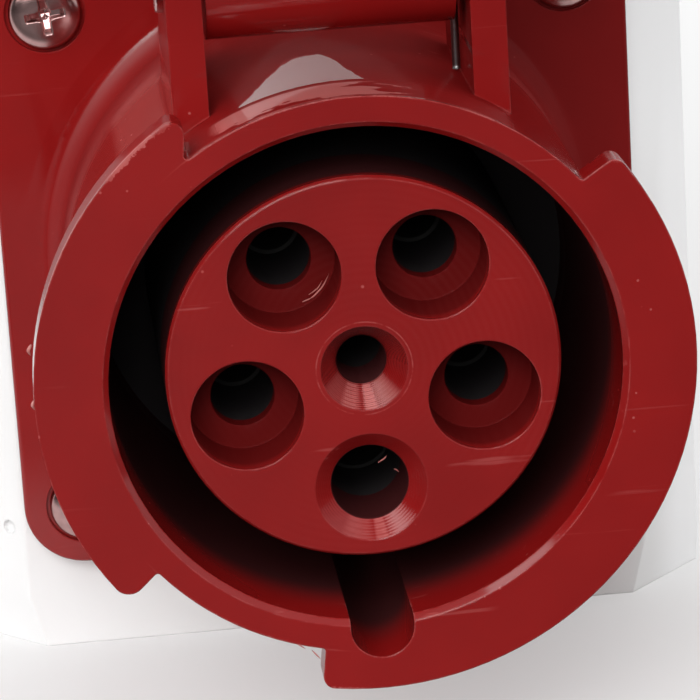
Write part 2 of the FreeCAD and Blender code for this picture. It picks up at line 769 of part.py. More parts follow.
def contact_ring(place, bore, start):
    """The open spring ring that grips a sleeve."""
    outer = sleeve_radius(bore)
    start_y = mouth_y + start + ring_set_back
    ring = tube_y(outer, outer + ring_thickness, start_y, start_y + ring_width, place.x, place.z)
    gap = block((place.x - ring_gap / 2.0, start_y - overshoot, place.z),
                (place.x + ring_gap / 2.0, start_y + ring_width + overshoot,
                 place.z + outer + ring_thickness + overshoot))
    return ring.cut(gap)


def slotted_screw(place, bore, wire):
    screw = terminal_screw(place, bore, wire)
    direction = polar(1.0, outward_angle(place))
    reach = sleeve_radius(bore) + terminal_extra_radius + terminal_screw_proud
    y = skirt_end_y + back_plate_thickness + terminal_length - terminal_screw_from_end
    slot = block((-terminal_slot_depth, -terminal_slot_length / 2.0, -terminal_slot_width / 2.0),
                 (overshoot, terminal_slot_length / 2.0, terminal_slot_width / 2.0))
    slot.rotate(ORIGIN, Vector(0, -1, 0), outward_angle(place))
    slot.translate(Vector(place.x, y, place.z) + direction * reach)
    return screw.cut(slot)


def swing_open(shape):
    """Turns a shape drawn with the lid closed to where the open lid holds it."""
    shape.rotate(HINGE, X_AXIS, -lid_open_angle)
    return shape


def hinge_pin():
    pin = rod_x(hinge_pin_radius, -ear_outer, ear_outer + hinge_pin_tail, hinge_y, hinge_height)
    head = rod_x(hinge_head_radius, -ear_outer - hinge_head_thickness, -ear_outer, hinge_y, hinge_height)
    rim = [edge for edge in head.Edges if edge.BoundBox.XMax < -ear_outer - hinge_head_thickness + touch]
    head = head.makeFillet(hinge_head_round, rim)
    groove_start = ear_outer + clip_gap
    groove_end = groove_start + clip_thickness
    groove = rod_x(hinge_pin_radius + overshoot, groove_start, groove_end, hinge_y, hinge_height)
    groove = groove.cut(rod_x(hinge_pin_radius - pin_groove_depth, groove_start, groove_end,
                              hinge_y, hinge_height))
    return pin.fuse(head).cut(groove)


def pin_clip():
    start = ear_outer + clip_gap
    end = start + clip_thickness
    clip = rod_x(clip_radius, start, end, hinge_y, hinge_height)
    clip = clip.cut(rod_x(hinge_pin_radius - pin_groove_depth, start - overshoot, end + overshoot,
                          hinge_y, hinge_height))
    mouth = hinge_pin_radius - clip_mouth_inset
    return clip.cut(block((start - overshoot, hinge_y - mouth, hinge_height - clip_radius - overshoot),
                          (end + overshoot, hinge_y + mouth, hinge_height)))


def coil_outline(first_x, pitch, count):
    """The section of close-wound turns, as eight-sided ribs, in the plane above the hinge pin."""
    half, rise = pitch / 2.0, math.sqrt(spring_wire_radius ** 2 - (pitch / 2.0) ** 2)
    flat = spring_wire_radius * math.tan(math.radians(22.5))
    middle = hinge_height + spring_coil_radius
    crests, roots = [], []
    for index in range(count):
        x = first_x + index * pitch
        crests += [(x - half, rise), (x - flat, spring_wire_radius), (x + flat, spring_wire_radius)]
        roots += [(x - half, -rise), (x - flat, -spring_wire_radius), (x + flat, -spring_wire_radius)]
    last = first_x + (count - 0.5) * pitch
    section = crests + [(last, rise), (last, -rise)] + roots[::-1]
    points = [Vector(x, hinge_y, middle + height) for x, height in section]
    return Part.Face(Part.makePolygon(points + [points[0]]))


def lid_spring():
    """The torsion spring: a close-wound coil about the pin and a straight leg down to the barrel."""
    leg_x = ear_inner - knuckle_right_gap / 2.0
    pitch = 2.0 * spring_wire_radius - spring_turn_overlap
    first_x = leg_x - (spring_turns - 1) * pitch
    coil = coil_outline(first_x, pitch, spring_turns).revolve(HINGE, X_AXIS, 360)
    leg_radius = spring_wire_radius - spring_turn_overlap
    surface = math.sqrt(barrel_radius ** 2 - (leg_x - leg_radius) ** 2)
    leg = rod_z(leg_radius, surface + spring_leg_reach, hinge_height, leg_x, hinge_y + spring_coil_radius)
    return coil.fuse(leg)


def lid():
    back_y, front_y, hub_y = mouth_y - lid_rim_back, mouth_y - lid_rim_front, mouth_y - hub_front
    groove_y = mouth_y - seal_gap - seal_thickness
    cavity = hub_radius - hub_wall
    snap_y = front_y - ring_running_gap * 2.0 - lock_web_thickness
    inner_y = hub_y + hub_wall
    profile = [(0.0, hub_y - hub_crown), (hub_radius / 2.0, hub_y - hub_crown * hub_crown_shoulder),
               (hub_radius - hub_edge_reach, hub_y), (hub_radius, hub_y + hub_edge_drop),
               (hub_radius, snap_y - snap_thickness),
               (hub_radius - snap_groove_depth, snap_y - snap_thickness),
               (hub_radius - snap_groove_depth, snap_y), (hub_radius, snap_y), (hub_radius, front_y),
               (lid_rim_radius - lid_rim_bevel, front_y), (lid_rim_radius, front_y + lid_rim_bevel),
               (lid_rim_radius, back_y),
               (seal_outer_radius, back_y), (seal_outer_radius, groove_y), (seal_inner_radius, groove_y),
               (seal_inner_radius, back_y), (cavity + hub_lip_bevel, back_y),
               (cavity, back_y - hub_lip_bevel), (cavity, inner_y + hub_inner_bevel),
               (cavity - hub_inner_bevel, inner_y), (0.0, inner_y)]
    cap = turned(profile)
    left, right = -ear_inner + knuckle_left_gap, ear_inner - knuckle_right_gap
    top = arm_underside + arm_thickness
    arm = block((left, front_y, arm_underside), (right, hinge_y, top))
    arm = arm.fuse(block((left, front_y, lid_rim_radius * arm_root_share), (right, back_y, top)))
    arm = arm.fuse(rod_x(knuckle_radius, left, right, hinge_y, hinge_height))
    cap = cap.fuse(arm)
    cap = cap.cut(tube_y(seal_inner_radius, seal_outer_radius, groove_y, mouth_y))
    bore = hinge_pin_radius + knuckle_bore_clearance
    cap = cap.cut(rod_x(bore, left - overshoot, right + overshoot, hinge_y, hinge_height))
    cap = cap.cut(rod_x(spring_pocket_radius, right - spring_pocket_depth, right + overshoot,
                        hinge_y, hinge_height))
    return swing_open(cap.removeSplitter())


def lid_seal():
    start = mouth_y - seal_gap - seal_thickness
    return swing_open(tube_y(seal_inner_radius, seal_outer_radius, start, mouth_y - seal_gap))


def lock_ring():
    web_back = mouth_y - lid_rim_front - ring_running_gap
    web_front = web_back - lock_web_thickness
    skirt_outer = lock_skirt_inner + lock_skirt_wall
    skirt_back = mouth_y + lock_skirt_behind
    ring = turned([(hub_radius + ring_running_gap, web_front), (skirt_outer - lock_edge_bevel, web_front),
                   (skirt_outer, web_front + lock_edge_bevel), (skirt_outer, skirt_back),
                   (lock_skirt_inner, skirt_back),
                   (lock_skirt_inner, web_back), (hub_radius + ring_running_gap, web_back)])
    for index in range(grip_count):
        place = polar(skirt_outer + grip_radius - grip_depth, 360.0 * (index + 0.5) / grip_count)
        ring = ring.cut(rod_y(grip_radius, web_front + grip_from_front, skirt_back + overshoot,
                              place.x, place.z))
    reach = math.degrees(math.asin(ear_inner / arm_underside)) + window_margin
    window = sector(lock_skirt_inner - overshoot, skirt_outer + overshoot, 90.0 - reach,
                    90.0 + reach + lock_turn, web_back, skirt_back + overshoot)
    ring = ring.cut(window)
    lug_start = mouth_y + flange_thickness + lug_behind_flange
    for start_angle, end_angle in lug_arcs:
        ring = ring.fuse(sector(lug_inner_radius, lock_skirt_inner + lug_root_sink, start_angle, end_angle,
                                lug_start, lug_start + lug_thickness))
    return swing_open(ring.removeSplitter())


def snap_ring():
    start = mouth_y - lid_rim_front - ring_running_gap * 2.0 - lock_web_thickness - snap_thickness
    ring = tube_y(hub_radius - snap_groove_depth, snap_outer_radius, start, start + snap_thickness)
    gap = block((-snap_gap_width / 2.0, start - overshoot, -snap_outer_radius - overshoot),
                (snap_gap_width / 2.0, start + snap_thickness + overshoot, 0.0))
    return swing_open(ring.cut(gap))


def hexagon(flats, low, high):
    """A hexagonal block on the gland's axis, with two flats facing the wall."""
    corner = flats / math.sqrt(3.0)
    points = [Vector(corner * math.cos(math.radians(60.0 * k)),
                     gland_y + corner * math.sin(math.radians(60.0 * k)), low) for k in range(6)]
    return prism(points, Vector(0, 0, high - low))


def gland_tube(inner, outer, low, high):
    hole = rod_z(inner, low - overshoot, high + overshoot, 0.0, gland_y)
    return rod_z(outer, low, high, 0.0, gland_y).cut(hole)


def gland_pieces():
    seat = top_z + gland_washer_thickness
    hex_top = seat + gland_hex_height
    thread_top = hex_top + gland_thread_above
    seal_outer = gland_seal_radius + gland_seal_wall
    washer = gland_tube(gland_thread_radius + gland_thread_clearance, gland_washer_radius, top_z, seat)
    body = hexagon(gland_hex_flats, seat, hex_top)
    thread_low = top_z - gland_thread_below
    body = body.fuse(rod_z(gland_thread_radius, thread_low, thread_top, 0.0, gland_y))
    body = body.cut(rod_z(gland_bore_radius, thread_low - overshoot, thread_top + overshoot, 0.0, gland_y))
    seal_low = thread_top - gland_seal_height + gland_seal_proud
    body = body.cut(rod_z(seal_outer + fit_clearance, seal_low, thread_top + overshoot, 0.0, gland_y))
    seal = gland_tube(gland_seal_radius, seal_outer, seal_low, seal_low + gland_seal_height)
    inner_roof = max(thread_top, seal_low + gland_seal_height) + fit_clearance
    nut_low = inner_roof - gland_nut_height + gland_nut_drop
    dome_low = inner_roof + gland_nut_shoulder
    nut = hexagon(gland_hex_flats, nut_low, dome_low)
    dome = Part.makeCone(gland_hex_flats / 2.0, gland_bore_radius + gland_dome_wall, gland_dome_height,
                         Vector(0, gland_y, dome_low), Z_AXIS)
    nut = nut.fuse(dome)
    thread_hole = gland_thread_radius + gland_thread_clearance
    nut = nut.cut(rod_z(thread_hole, nut_low - overshoot, inner_roof, 0.0, gland_y))
    nut = nut.cut(rod_z(gland_bore_radius, inner_roof - overshoot, dome_low + gland_dome_height + overshoot,
                        0.0, gland_y))
    inside = top_z - box_wall
    locknut = hexagon(locknut_flats, inside - locknut_height, inside)
    locknut = locknut.cut(rod_z(thread_hole, inside - locknut_height - overshoot, inside + overshoot,
                                0.0, gland_y))
    return {"gland_washer": washer, "gland_body": body, "gland_seal": seal, "gland_nut": nut,
            "gland_locknut": locknut}


def build():
    """Every node's name and shape."""
    rows = contact_sizes()
    nodes = {
        "back_box": back_box(),
        "box_cover": box_cover(),
        "rim_seal": rim_seal(),
        "cover_screws": Part.makeCompound([cover_screw(x, z) for x, z in cover_screw_places()]),
        "flange_gasket": flange_gasket(),
        "socket_body": socket_body(),
        "flange_screws": Part.makeCompound([flange_screw(x, z) for x, z in screw_places()]),
        "contact_carrier": contact_carrier(),
        "carrier_core": carrier_core(),
        "carrier_back": carrier_back(),
        "carrier_screws": Part.makeCompound([carrier_screw(angle) for angle in carrier_screw_angles]),
        "contact_rings": Part.makeCompound([contact_ring(place, bore, start)
                                            for name, place, bore, start, length, wire in rows]),
        "terminal_screws": Part.makeCompound([slotted_screw(place, bore, wire)
                                              for name, place, bore, start, length, wire in rows]),
        "hinge_pin": hinge_pin(),
        "pin_clip": pin_clip(),
        "lid_spring": lid_spring(),
        "lid": lid(),
        "lid_seal": lid_seal(),
        "lock_ring": lock_ring(),
        "snap_ring": snap_ring(),
    }
    for name, place, bore, start, length, wire in rows:
        nodes[name] = contact(place, bore, start, length, wire)
    nodes.update(gland_pieces())
    return nodes


os.makedirs("parts", exist_ok=True)
for name, shape in build().items():
    shape.exportStep("parts/%s.step" % name)
    print("%-18s solids %d volume %.1f valid %s" % (name, len(shape.Solids), shape.Volume, shape.isValid()))
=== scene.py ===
# %% [markdown]
# A wall socket for industrial plugs: a red barrel with a notched locking flange stands on a square
# plate, the plate is screwed to a white surface box, and a lid with a lock ring hangs open above.
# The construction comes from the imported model. These cells give it its light, its finishes and the
# small pieces that a camera sees from this close.

# %% Load the frame
import json
import math

import bpy
import numpy as np
from mathutils import Matrix, Vector


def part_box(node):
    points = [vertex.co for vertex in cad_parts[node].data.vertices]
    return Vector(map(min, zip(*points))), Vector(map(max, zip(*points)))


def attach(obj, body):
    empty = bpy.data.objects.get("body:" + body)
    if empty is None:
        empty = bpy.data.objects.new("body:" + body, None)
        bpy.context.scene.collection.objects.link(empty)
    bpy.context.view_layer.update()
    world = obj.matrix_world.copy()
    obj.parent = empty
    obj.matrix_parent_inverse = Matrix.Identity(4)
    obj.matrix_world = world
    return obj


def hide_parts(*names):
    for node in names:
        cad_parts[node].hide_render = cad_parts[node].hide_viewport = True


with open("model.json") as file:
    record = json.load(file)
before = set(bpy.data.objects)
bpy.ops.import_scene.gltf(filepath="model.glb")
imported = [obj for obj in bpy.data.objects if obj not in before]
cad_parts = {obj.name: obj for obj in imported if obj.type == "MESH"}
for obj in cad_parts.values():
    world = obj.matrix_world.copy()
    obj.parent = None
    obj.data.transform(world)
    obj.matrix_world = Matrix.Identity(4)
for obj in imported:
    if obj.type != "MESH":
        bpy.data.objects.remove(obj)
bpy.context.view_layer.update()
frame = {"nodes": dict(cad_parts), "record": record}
NODES = frame["nodes"]
MM = 0.001

# %% [markdown]
# Sizes that the finishes and small pieces follow are read from the nodes' own boxes where they can
# be, so a detail stays on the piece that carries it. The rest are the real sizes of the edges.

# %% Read places from the model
body_low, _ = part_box("socket_body")
box_low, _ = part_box("box_cover")
screw_low, screw_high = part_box("flange_screws")
spring_low, spring_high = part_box("lid_spring")
pin_low, pin_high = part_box("hinge_pin")
MOUTH_Y = body_low.y
TABLE_Z = box_low.z
HINGE_Y = (pin_low.y + pin_high.y) / 2
HINGE_Z = (pin_low.z + pin_high.z) / 2
print("mouth plane at %.1f mm, table at %.1f mm" % (MOUTH_Y / MM, TABLE_Z / MM))

# %% [markdown]
# The camera stands where the photographer stood, about two thirds of a metre away with a long lens,
# a little above the socket and to its left. A long lens keeps the flange nearly round.

# %% Camera
FRAME_PIXELS = 700
FOCAL_PIXELS = 4000.0
SENSOR_WIDTH = 36.0
CAMERA_PLACE = Vector((-46.9, -667.5, 176.1)) * MM
CAMERA_RIGHT = Vector((0.99312, -0.10177, -0.05796))
CAMERA_UP = Vector((0.08609, 0.29878, 0.95043))

camera_data = bpy.data.cameras.new("camera")
camera_data.sensor_width = SENSOR_WIDTH
camera_data.lens = FOCAL_PIXELS * SENSOR_WIDTH / FRAME_PIXELS
camera_data.clip_start = 0.01
camera_data.clip_end = 50.0
camera = bpy.data.objects.new("camera", camera_data)
backward = CAMERA_RIGHT.cross(CAMERA_UP).normalized()
turn = Matrix((CAMERA_RIGHT, CAMERA_UP, backward)).transposed()
camera.matrix_world = Matrix.Translation(CAMERA_PLACE) @ turn.to_4x4()
bpy.context.scene.collection.objects.link(camera)
bpy.context.scene.camera = camera
bpy.context.scene.view_settings.view_transform = "Standard"
print("lens %.1f mm" % camera_data.lens)

# %% [markdown]
# Shader maths reads best as sums. Signal wraps one socket of a material's graph, and adding or
# multiplying two of them adds the Math node that does it. Finish holds one material's graph, and its
# add method is the only way a node comes into it.

# %% Shader helpers
BEVEL_SAMPLES = 4
EDGE_ROUND = 0.4 * MM
# How far the rounded normal turns on an edge: where the edge starts to show, and where it is full
EDGE_TURN = (0.015, 0.20)
# The share of a cloudy noise over which one shade passes into the other
CLOUD_RANGE = (0.3, 0.7)
PLASTIC_IOR = 1.46
MATT_ROUGHNESS = 0.7
MATT_SPECULAR = 0.06


class Signal:
    """A number that changes over a surface, as a node's output."""

    def __init__(self, finish, socket):
        self.finish = finish
        self.socket = socket

    def math(self, operation, *others):
        node = self.finish.add("ShaderNodeMath", {"operation": operation})
        for index, value in enumerate((self,) + others):
            self.finish.feed(node.inputs[index], value)
        return Signal(self.finish, node.outputs[0])

    def __add__(self, other):
        return self.math("ADD", other)

    __radd__ = __add__

    def __mul__(self, other):
        return self.math("MULTIPLY", other)

    __rmul__ = __mul__

    def __sub__(self, other):
        return self.math("SUBTRACT", other)

    def __rsub__(self, other):
        return (self * -1.0) + other

    def largest(self, *others):
        """The largest of this signal and others."""
        result = self
        for other in others:
            result = result.math("MAXIMUM", other)
        return result

    def above(self, low, high):
        """0 below low, 1 above high, and a smooth rise between."""
        node = self.finish.add("ShaderNodeMapRange", {"interpolation_type": "SMOOTHSTEP"},
                               {0: self, 1: low, 2: high, 3: 0.0, 4: 1.0})
        return Signal(self.finish, node.outputs[0])

    def below(self, low, high):
        """1 below low, 0 above high, and a smooth fall between."""
        return 1.0 - self.above(low, high)

    def near(self, middle, half, start, full):
        """For an angle: 1 near middle, in degrees. It starts half * start away, full at half * full."""
        turn = (self - math.radians(middle)).math("COSINE")
        return turn.above(math.cos(math.radians(half * start)), math.cos(math.radians(half * full)))


class Finish:
    """One material's node graph."""

    def __init__(self, name):
        self.material = bpy.data.materials.new(name)
        self.material.use_nodes = True
        self.tree = self.material.node_tree
        self.tree.nodes.clear()
        self.rounded = {}
        self.place = self.add("ShaderNodeTexCoord").outputs["Object"]

    def feed(self, socket, value):
        """Gives a socket a link, a colour, a vector or a number."""
        if isinstance(value, Signal):
            self.tree.links.new(value.socket, socket)
        elif isinstance(value, bpy.types.NodeSocket):
            self.tree.links.new(value, socket)
        elif isinstance(value, (tuple, list)) and len(value) == 3 and socket.type == "RGBA":
            socket.default_value = (*value, 1.0)
        else:
            socket.default_value = value

    def add(self, kind, settings=None, inputs=None):
        """Adds a node: its settings first, then the values or links of its sockets."""
        node = self.tree.nodes.new(kind)
        for name, value in (settings or {}).items():
            setattr(node, name, value)
        for name, value in (inputs or {}).items():
            self.feed(node.inputs[name], value)
        return node

    def axis(self, name):
        """One coordinate of the point, in metres."""
        split = self.add("ShaderNodeSeparateXYZ", {}, {0: self.place})
        return Signal(self, split.outputs[name])

    def polar(self, middle=(0.0, 0.0)):
        """Distance and angle of the point about an axis that runs along Y through this X and Z."""
        across, up = self.axis("X") - middle[0], self.axis("Z") - middle[1]
        return (across * across + up * up).math("SQRT"), up.math("ARCTAN2", across)

    def mapped(self, scale=(1, 1, 1), rotation=(0, 0, 0), location=(0, 0, 0)):
        """The point, turned and stretched, for a pattern that runs in one direction."""
        node = self.add("ShaderNodeMapping", {}, {"Vector": self.place, "Scale": scale,
                                                  "Rotation": rotation, "Location": location})
        return node.outputs[0]

    def noise(self, scale, detail=2.0, rough=0.5, vector=None):
        node = self.add("ShaderNodeTexNoise", {}, {
            "Vector": vector or self.place, "Scale": scale, "Detail": detail, "Roughness": rough})
        return Signal(self, node.outputs[0])

    def dots(self, scale):
        """Distance to scattered points."""
        node = self.add("ShaderNodeTexVoronoi", {}, {"Vector": self.place, "Scale": scale})
        return Signal(self, node.outputs["Distance"])

    def scratches(self, scale, stretch, angle, low, high, seed=0.0):
        """Fine lines that run one way: noise stretched along a direction in the X-Z plane."""
        vector = self.mapped(scale=(1.0 / stretch, 1.0, 1.0), rotation=(0.0, angle, 0.0),
                             location=(seed, seed, seed))
        return self.noise(scale, detail=3.0, rough=0.6, vector=vector).above(low, high)

    def mix(self, factor, first, second):
        """A colour between two."""
        node = self.add("ShaderNodeMix", {"data_type": "RGBA"}, {0: factor, 6: first, 7: second})
        return node.outputs[2]

    def bump(self, height, distance, strength, normal):
        node = self.add("ShaderNodeBump", {}, {
            "Height": height, "Distance": distance, "Strength": strength, "Normal": normal})
        return node.outputs[0]

    def soft_edge(self, radius):
        """The normal that a rounded edge of this radius would have. One node serves all that ask."""
        if radius not in self.rounded:
            node = self.add("ShaderNodeBevel", {"samples": BEVEL_SAMPLES}, {"Radius": radius})
            self.rounded[radius] = node.outputs[0]
        return self.rounded[radius]

    def edge(self):
        """1 on an edge and 0 on a flat, from how far the rounded normal turns from the true one."""
        rounded = self.soft_edge(EDGE_ROUND)
        true = self.add("ShaderNodeNewGeometry").outputs["Normal"]
        dot = self.add("ShaderNodeVectorMath", {"operation": "DOT_PRODUCT"}, {0: rounded, 1: true})
        return (1.0 - Signal(self, dot.outputs["Value"])).above(*EDGE_TURN)

    def surface(self, dull=None, **inputs):
        """The shader that ends the graph. Where dull is 1, the surface has next to no gloss."""
        shader = self.add("ShaderNodeBsdfPrincipled", {}, {
            name.replace("_", " "): value for name, value in inputs.items()})
        if dull is not None:
            matt = self.add("ShaderNodeBsdfPrincipled", {}, {
                "Base Color": inputs["Base_Color"], "Roughness": MATT_ROUGHNESS,
                "Normal": inputs["Normal"], "Specular IOR Level": MATT_SPECULAR})
            shader = self.add("ShaderNodeMixShader", {}, {
                0: dull, 1: shader.outputs[0], 2: matt.outputs[0]})
        out = self.add("ShaderNodeOutputMaterial")
        self.tree.links.new(shader.outputs[0], out.inputs[0])
        return self.material


# %% [markdown]
# The barrel, flange, ears, plate, insert and lid are moulded in one red plastic. It is glossy with a
# faint ripple, and it is used: hair scratches run across the flange, chalky pale lines of flash and
# wear follow its edges, and a few pale specks of dust lie in it. The pale lines on the edges are partly
# flash and partly a painted edge highlight. Each of these is a mask that makes the colour paler and
# the surface rougher where it is 1.

# %% Colours and edges of the red plastic
RED = (0.262, 0.0082, 0.0080)
RED_DEEP = (0.226, 0.0068, 0.0068)
RED_CHALK = (0.56, 0.145, 0.135)
RED_PAINTED_SHADE = (0.032, 0.0085, 0.009)
RED_WELL_SHADE = (0.10, 0.0034, 0.0034)
FLANGE_RADIUS = 47.0 * MM
COLLAR_RADIUS = 41.0 * MM
BORE_RADIUS = 36.5 * MM
# Worn stretches of the flange's front edges: radius, then middle and half length in degrees, width in
# millimetres and how pale the wear is
WORN_EDGES = ((FLANGE_RADIUS, 129.0, 9.0, 1.1, 0.85), (FLANGE_RADIUS, 42.0, 4.5, 1.7, 0.75),
              (FLANGE_RADIUS, 238.0, 18.0, 0.35, 0.8), (FLANGE_RADIUS, 5.0, 32.0, 0.25, 0.5),
              (FLANGE_RADIUS, 160.0, 25.0, 0.25, 0.6), (FLANGE_RADIUS, 262.0, 6.0, 0.45, 0.8),
              (COLLAR_RADIUS, 88.0, 36.0, 0.3, 0.7), (COLLAR_RADIUS, 240.0, 20.0, 0.35, 0.7))
# How deep the wear goes in from the mouth's plane, and how soft its inner and outer rims are
WEAR_DEPTH = (0.7 * MM, 1.1 * MM)
WEAR_INNER = (-0.05 * MM, 0.12 * MM)
WEAR_OUTER = (0.1 * MM, 0.3 * MM)


def flange_wear(finish):
    """Where the front edges are worn pale: a ragged band inside each edge's radius, by angle."""
    radius, angle = finish.polar()
    ragged = finish.noise(900.0, detail=4.0, rough=0.7) * 2.4 - 0.7
    front = (finish.axis("Y") - MOUTH_Y).below(*WEAR_DEPTH)
    gaps = finish.noise(150.0).above(0.36, 0.56) * 0.75 + 0.25
    bands = []
    for rim, middle, half, width, paleness in WORN_EDGES:
        along = angle.near(middle, half, start=1.25, full=0.5)
        inner = ragged * along * (-width * MM) + rim
        band = (radius - inner).above(*WEAR_INNER) * (radius - rim).below(*WEAR_OUTER)
        bands.append(band * along * front * paleness)
    return bands[0].largest(*bands[1:]) * gaps


# %% [markdown]
# The barrel's top is dull between the ears but for a polished hill, which mirrors the box and is also
# painted paler, a painted highlight, and a pale patch with ragged fingers on the collar in front of it,
# which is a painted reflection.

# %% The barrel's top
# The hill's left foot, its top's two ends and its right foot, how far behind the mouth it starts and
# ends, how soft its rim is and how far its sides waver
HILL_X = (-17.0 * MM, -4.5 * MM, -2.2 * MM, 4.0 * MM)
HILL_FRONT = 10.5 * MM
HILL_BACK = 28.3 * MM
HILL_SOFT = 0.6 * MM
HILL_WAVER = 1.2 * MM
# The painted reflection patch on the collar: where it starts on the left and ends on the right, how
# long its fingers are, how far its front rim lies behind the mouth and wavers, how that rim slopes, and
# where the patch ends at the back
PATCH_LEFT = (-20.0 * MM, -17.0 * MM)
PATCH_RIGHT = (6.0 * MM, 9.0 * MM)
PATCH_FINGERS = 26.0 * MM
PATCH_FRONT = 1.9 * MM
PATCH_WAVER = 9.0 * MM
PATCH_RIM = (0.0, 0.7 * MM)
PATCH_SLOPE = 0.10
PATCH_SLOPE_FROM = 18.0 * MM
PATCH_BACK = (8.0 * MM, 9.0 * MM)
PATCH_POLISH = 0.7
# The region between the ears: by X, by Z from below, by Z from above, and behind the flange's face
BETWEEN_EARS = ((22.0 * MM) ** 2, (24.0 * MM) ** 2)
TOP_START = (33.0 * MM, 35.0 * MM)
TOP_END = (41.5 * MM, 42.0 * MM)
BEHIND_FACE = (0.6 * MM, 1.0 * MM)
BEHIND_COLLAR = (10.1 * MM, 10.4 * MM)


def barrel_top(finish):
    """Three masks of the barrel's top: what is polished, what is dull, and the collar's painted
    reflection.
    """
    brushed = finish.noise(700.0, detail=3.0, rough=0.6, vector=finish.mapped(scale=(1.0, 0.12, 1.0)))
    ragged = finish.noise(330.0, detail=3.0, rough=0.6, vector=finish.mapped(scale=(0.3, 1.0, 1.0)))
    brushed, ragged = brushed - 0.5, ragged - 0.36
    true_x, height = finish.axis("X"), finish.axis("Z")
    x = true_x + brushed * HILL_WAVER
    behind = finish.axis("Y") - MOUTH_Y
    left, top_left, top_right, right = HILL_X
    rise = x.above(left, top_left) * x.below(top_right, right)
    hill_end = rise * (HILL_BACK - HILL_FRONT) + HILL_FRONT
    in_hill = (hill_end - behind).above(-HILL_SOFT, HILL_SOFT) * behind.above(*BEHIND_COLLAR)
    region = (true_x * true_x).below(*BETWEEN_EARS) * height.above(*TOP_START) * height.below(*TOP_END)
    region = region * behind.above(*BEHIND_FACE)
    across = x.above(*PATCH_LEFT) * (x + ragged * PATCH_FINGERS).below(*PATCH_RIGHT)
    front_rim = ragged * PATCH_WAVER + PATCH_FRONT - (x + PATCH_SLOPE_FROM) * PATCH_SLOPE
    painted_collar_reflection = (behind - front_rim).above(*PATCH_RIM) * behind.below(*PATCH_BACK) * across
    polished = in_hill + painted_collar_reflection * PATCH_POLISH
    return polished * region, (1.0 - polished) * region, painted_collar_reflection * region


# %% [markdown]
# Other parts of the body differ too. The red of the bore and of its key slot turns dark with depth, a
# painted shade. The barrel's root is rougher, so that it mirrors the lamps softly. The plate's right
# and the flange's upper side are dull, and the plate's right is also darker, a painted shadow of the
# barrel.
# On the barrel's left lie a broad pale side, painted light, and a paler streak, a painted reflection.

# %% Shades of the body
SLOT_HALF = 4.6 * MM
SLOT_REACH = 42.2 * MM
SLOT_TOP = (-30.0 * MM, -29.0 * MM)
SLOT_RIM = 0.1 * MM
BORE_RIM = (0.1 * MM, 0.3 * MM)
DEEP = (3.5 * MM, 15.0 * MM)
ROOT_START = (50.0 * MM, 60.0 * MM)
ROOT_END = (70.0 * MM, 70.4 * MM)
PLATE_START = (66.0 * MM, 70.0 * MM)
PLATE_RIGHT = (12.0 * MM, 24.0 * MM)
RIM_SIDE = (-0.5 * MM, -0.2 * MM)
RIM_START = (0.3 * MM, 0.6 * MM)
RIM_HEIGHT = (8.0 * MM, 18.0 * MM)
BARREL_ONLY = (41.5 * MM, 42.0 * MM)
# The painted reflection streak and the painted lit side: first and last angle in degrees, start and end
# behind the mouth, paleness
BARREL_PAINTED_LIGHTS = (((125.0, 128.0), (139.0, 144.0), (26.0 * MM, 30.0 * MM), (56.0 * MM, 62.0 * MM), 0.42),
                 ((118.0, 126.0), (160.0, 176.0), (10.0 * MM, 14.0 * MM), (58.0 * MM, 66.0 * MM), 0.10))


def body_shade(finish):
    """Masks of the body: painted shade deep inside, the root, the plate's right with its painted
    shadow, the rim's side, and the painted light on the barrel's left.
    """
    x, z = finish.axis("X"), finish.axis("Z")
    behind = finish.axis("Y") - MOUTH_Y
    radius, angle = finish.polar()
    degrees = angle * (180.0 / math.pi)
    key_slot = (x * x).below(SLOT_HALF ** 2, (SLOT_HALF + SLOT_RIM) ** 2)
    key_slot = key_slot * z.below(*SLOT_TOP) * z.above(-SLOT_REACH - SLOT_RIM, -SLOT_REACH)
    painted_bore_shade = (radius - BORE_RADIUS).below(*BORE_RIM).largest(key_slot) * behind.above(*DEEP)
    root = behind.above(*ROOT_START) * behind.below(*ROOT_END)
    # Painted shadow: the plate's right, where the barrel shades it, is painted darker
    plate_right_painted_shadow = behind.above(*PLATE_START) * x.above(*PLATE_RIGHT)
    rim_side = (radius - FLANGE_RADIUS).above(*RIM_SIDE)
    rim_side = rim_side * behind.above(*RIM_START) * z.above(*RIM_HEIGHT)
    # Painted light: a paler lit side and a painted reflection streak on the barrel's left
    lights = [degrees.above(*first) * degrees.below(*last)
              * behind.above(*start) * behind.below(*end) * paleness
              for first, last, start, end, paleness in BARREL_PAINTED_LIGHTS]
    painted_barrel_light = lights[0].largest(lights[1]) * radius.below(*BARREL_ONLY)
    return painted_bore_shade, root, plate_right_painted_shadow, rim_side, painted_barrel_light


# %% Red moulded plastic
RED_GLOSS = 0.07
FRONT_PART = (6.5 * MM, 8.0 * MM)
# Scratches of the flange: scale, stretch, direction, where the noise shows, and a seed
LONG_MARKS = (520.0, 26.0, 0.06, 0.66, 0.74, 0.0)
CROSS_MARKS = (430.0, 18.0, 0.95, 0.70, 0.76, 3.1)
STEEP_MARKS = (460.0, 20.0, -0.8, 0.71, 0.77, 7.7)
BROKEN_RANGE = (0.36, 0.62)
RED_BUMP = 0.08 * MM


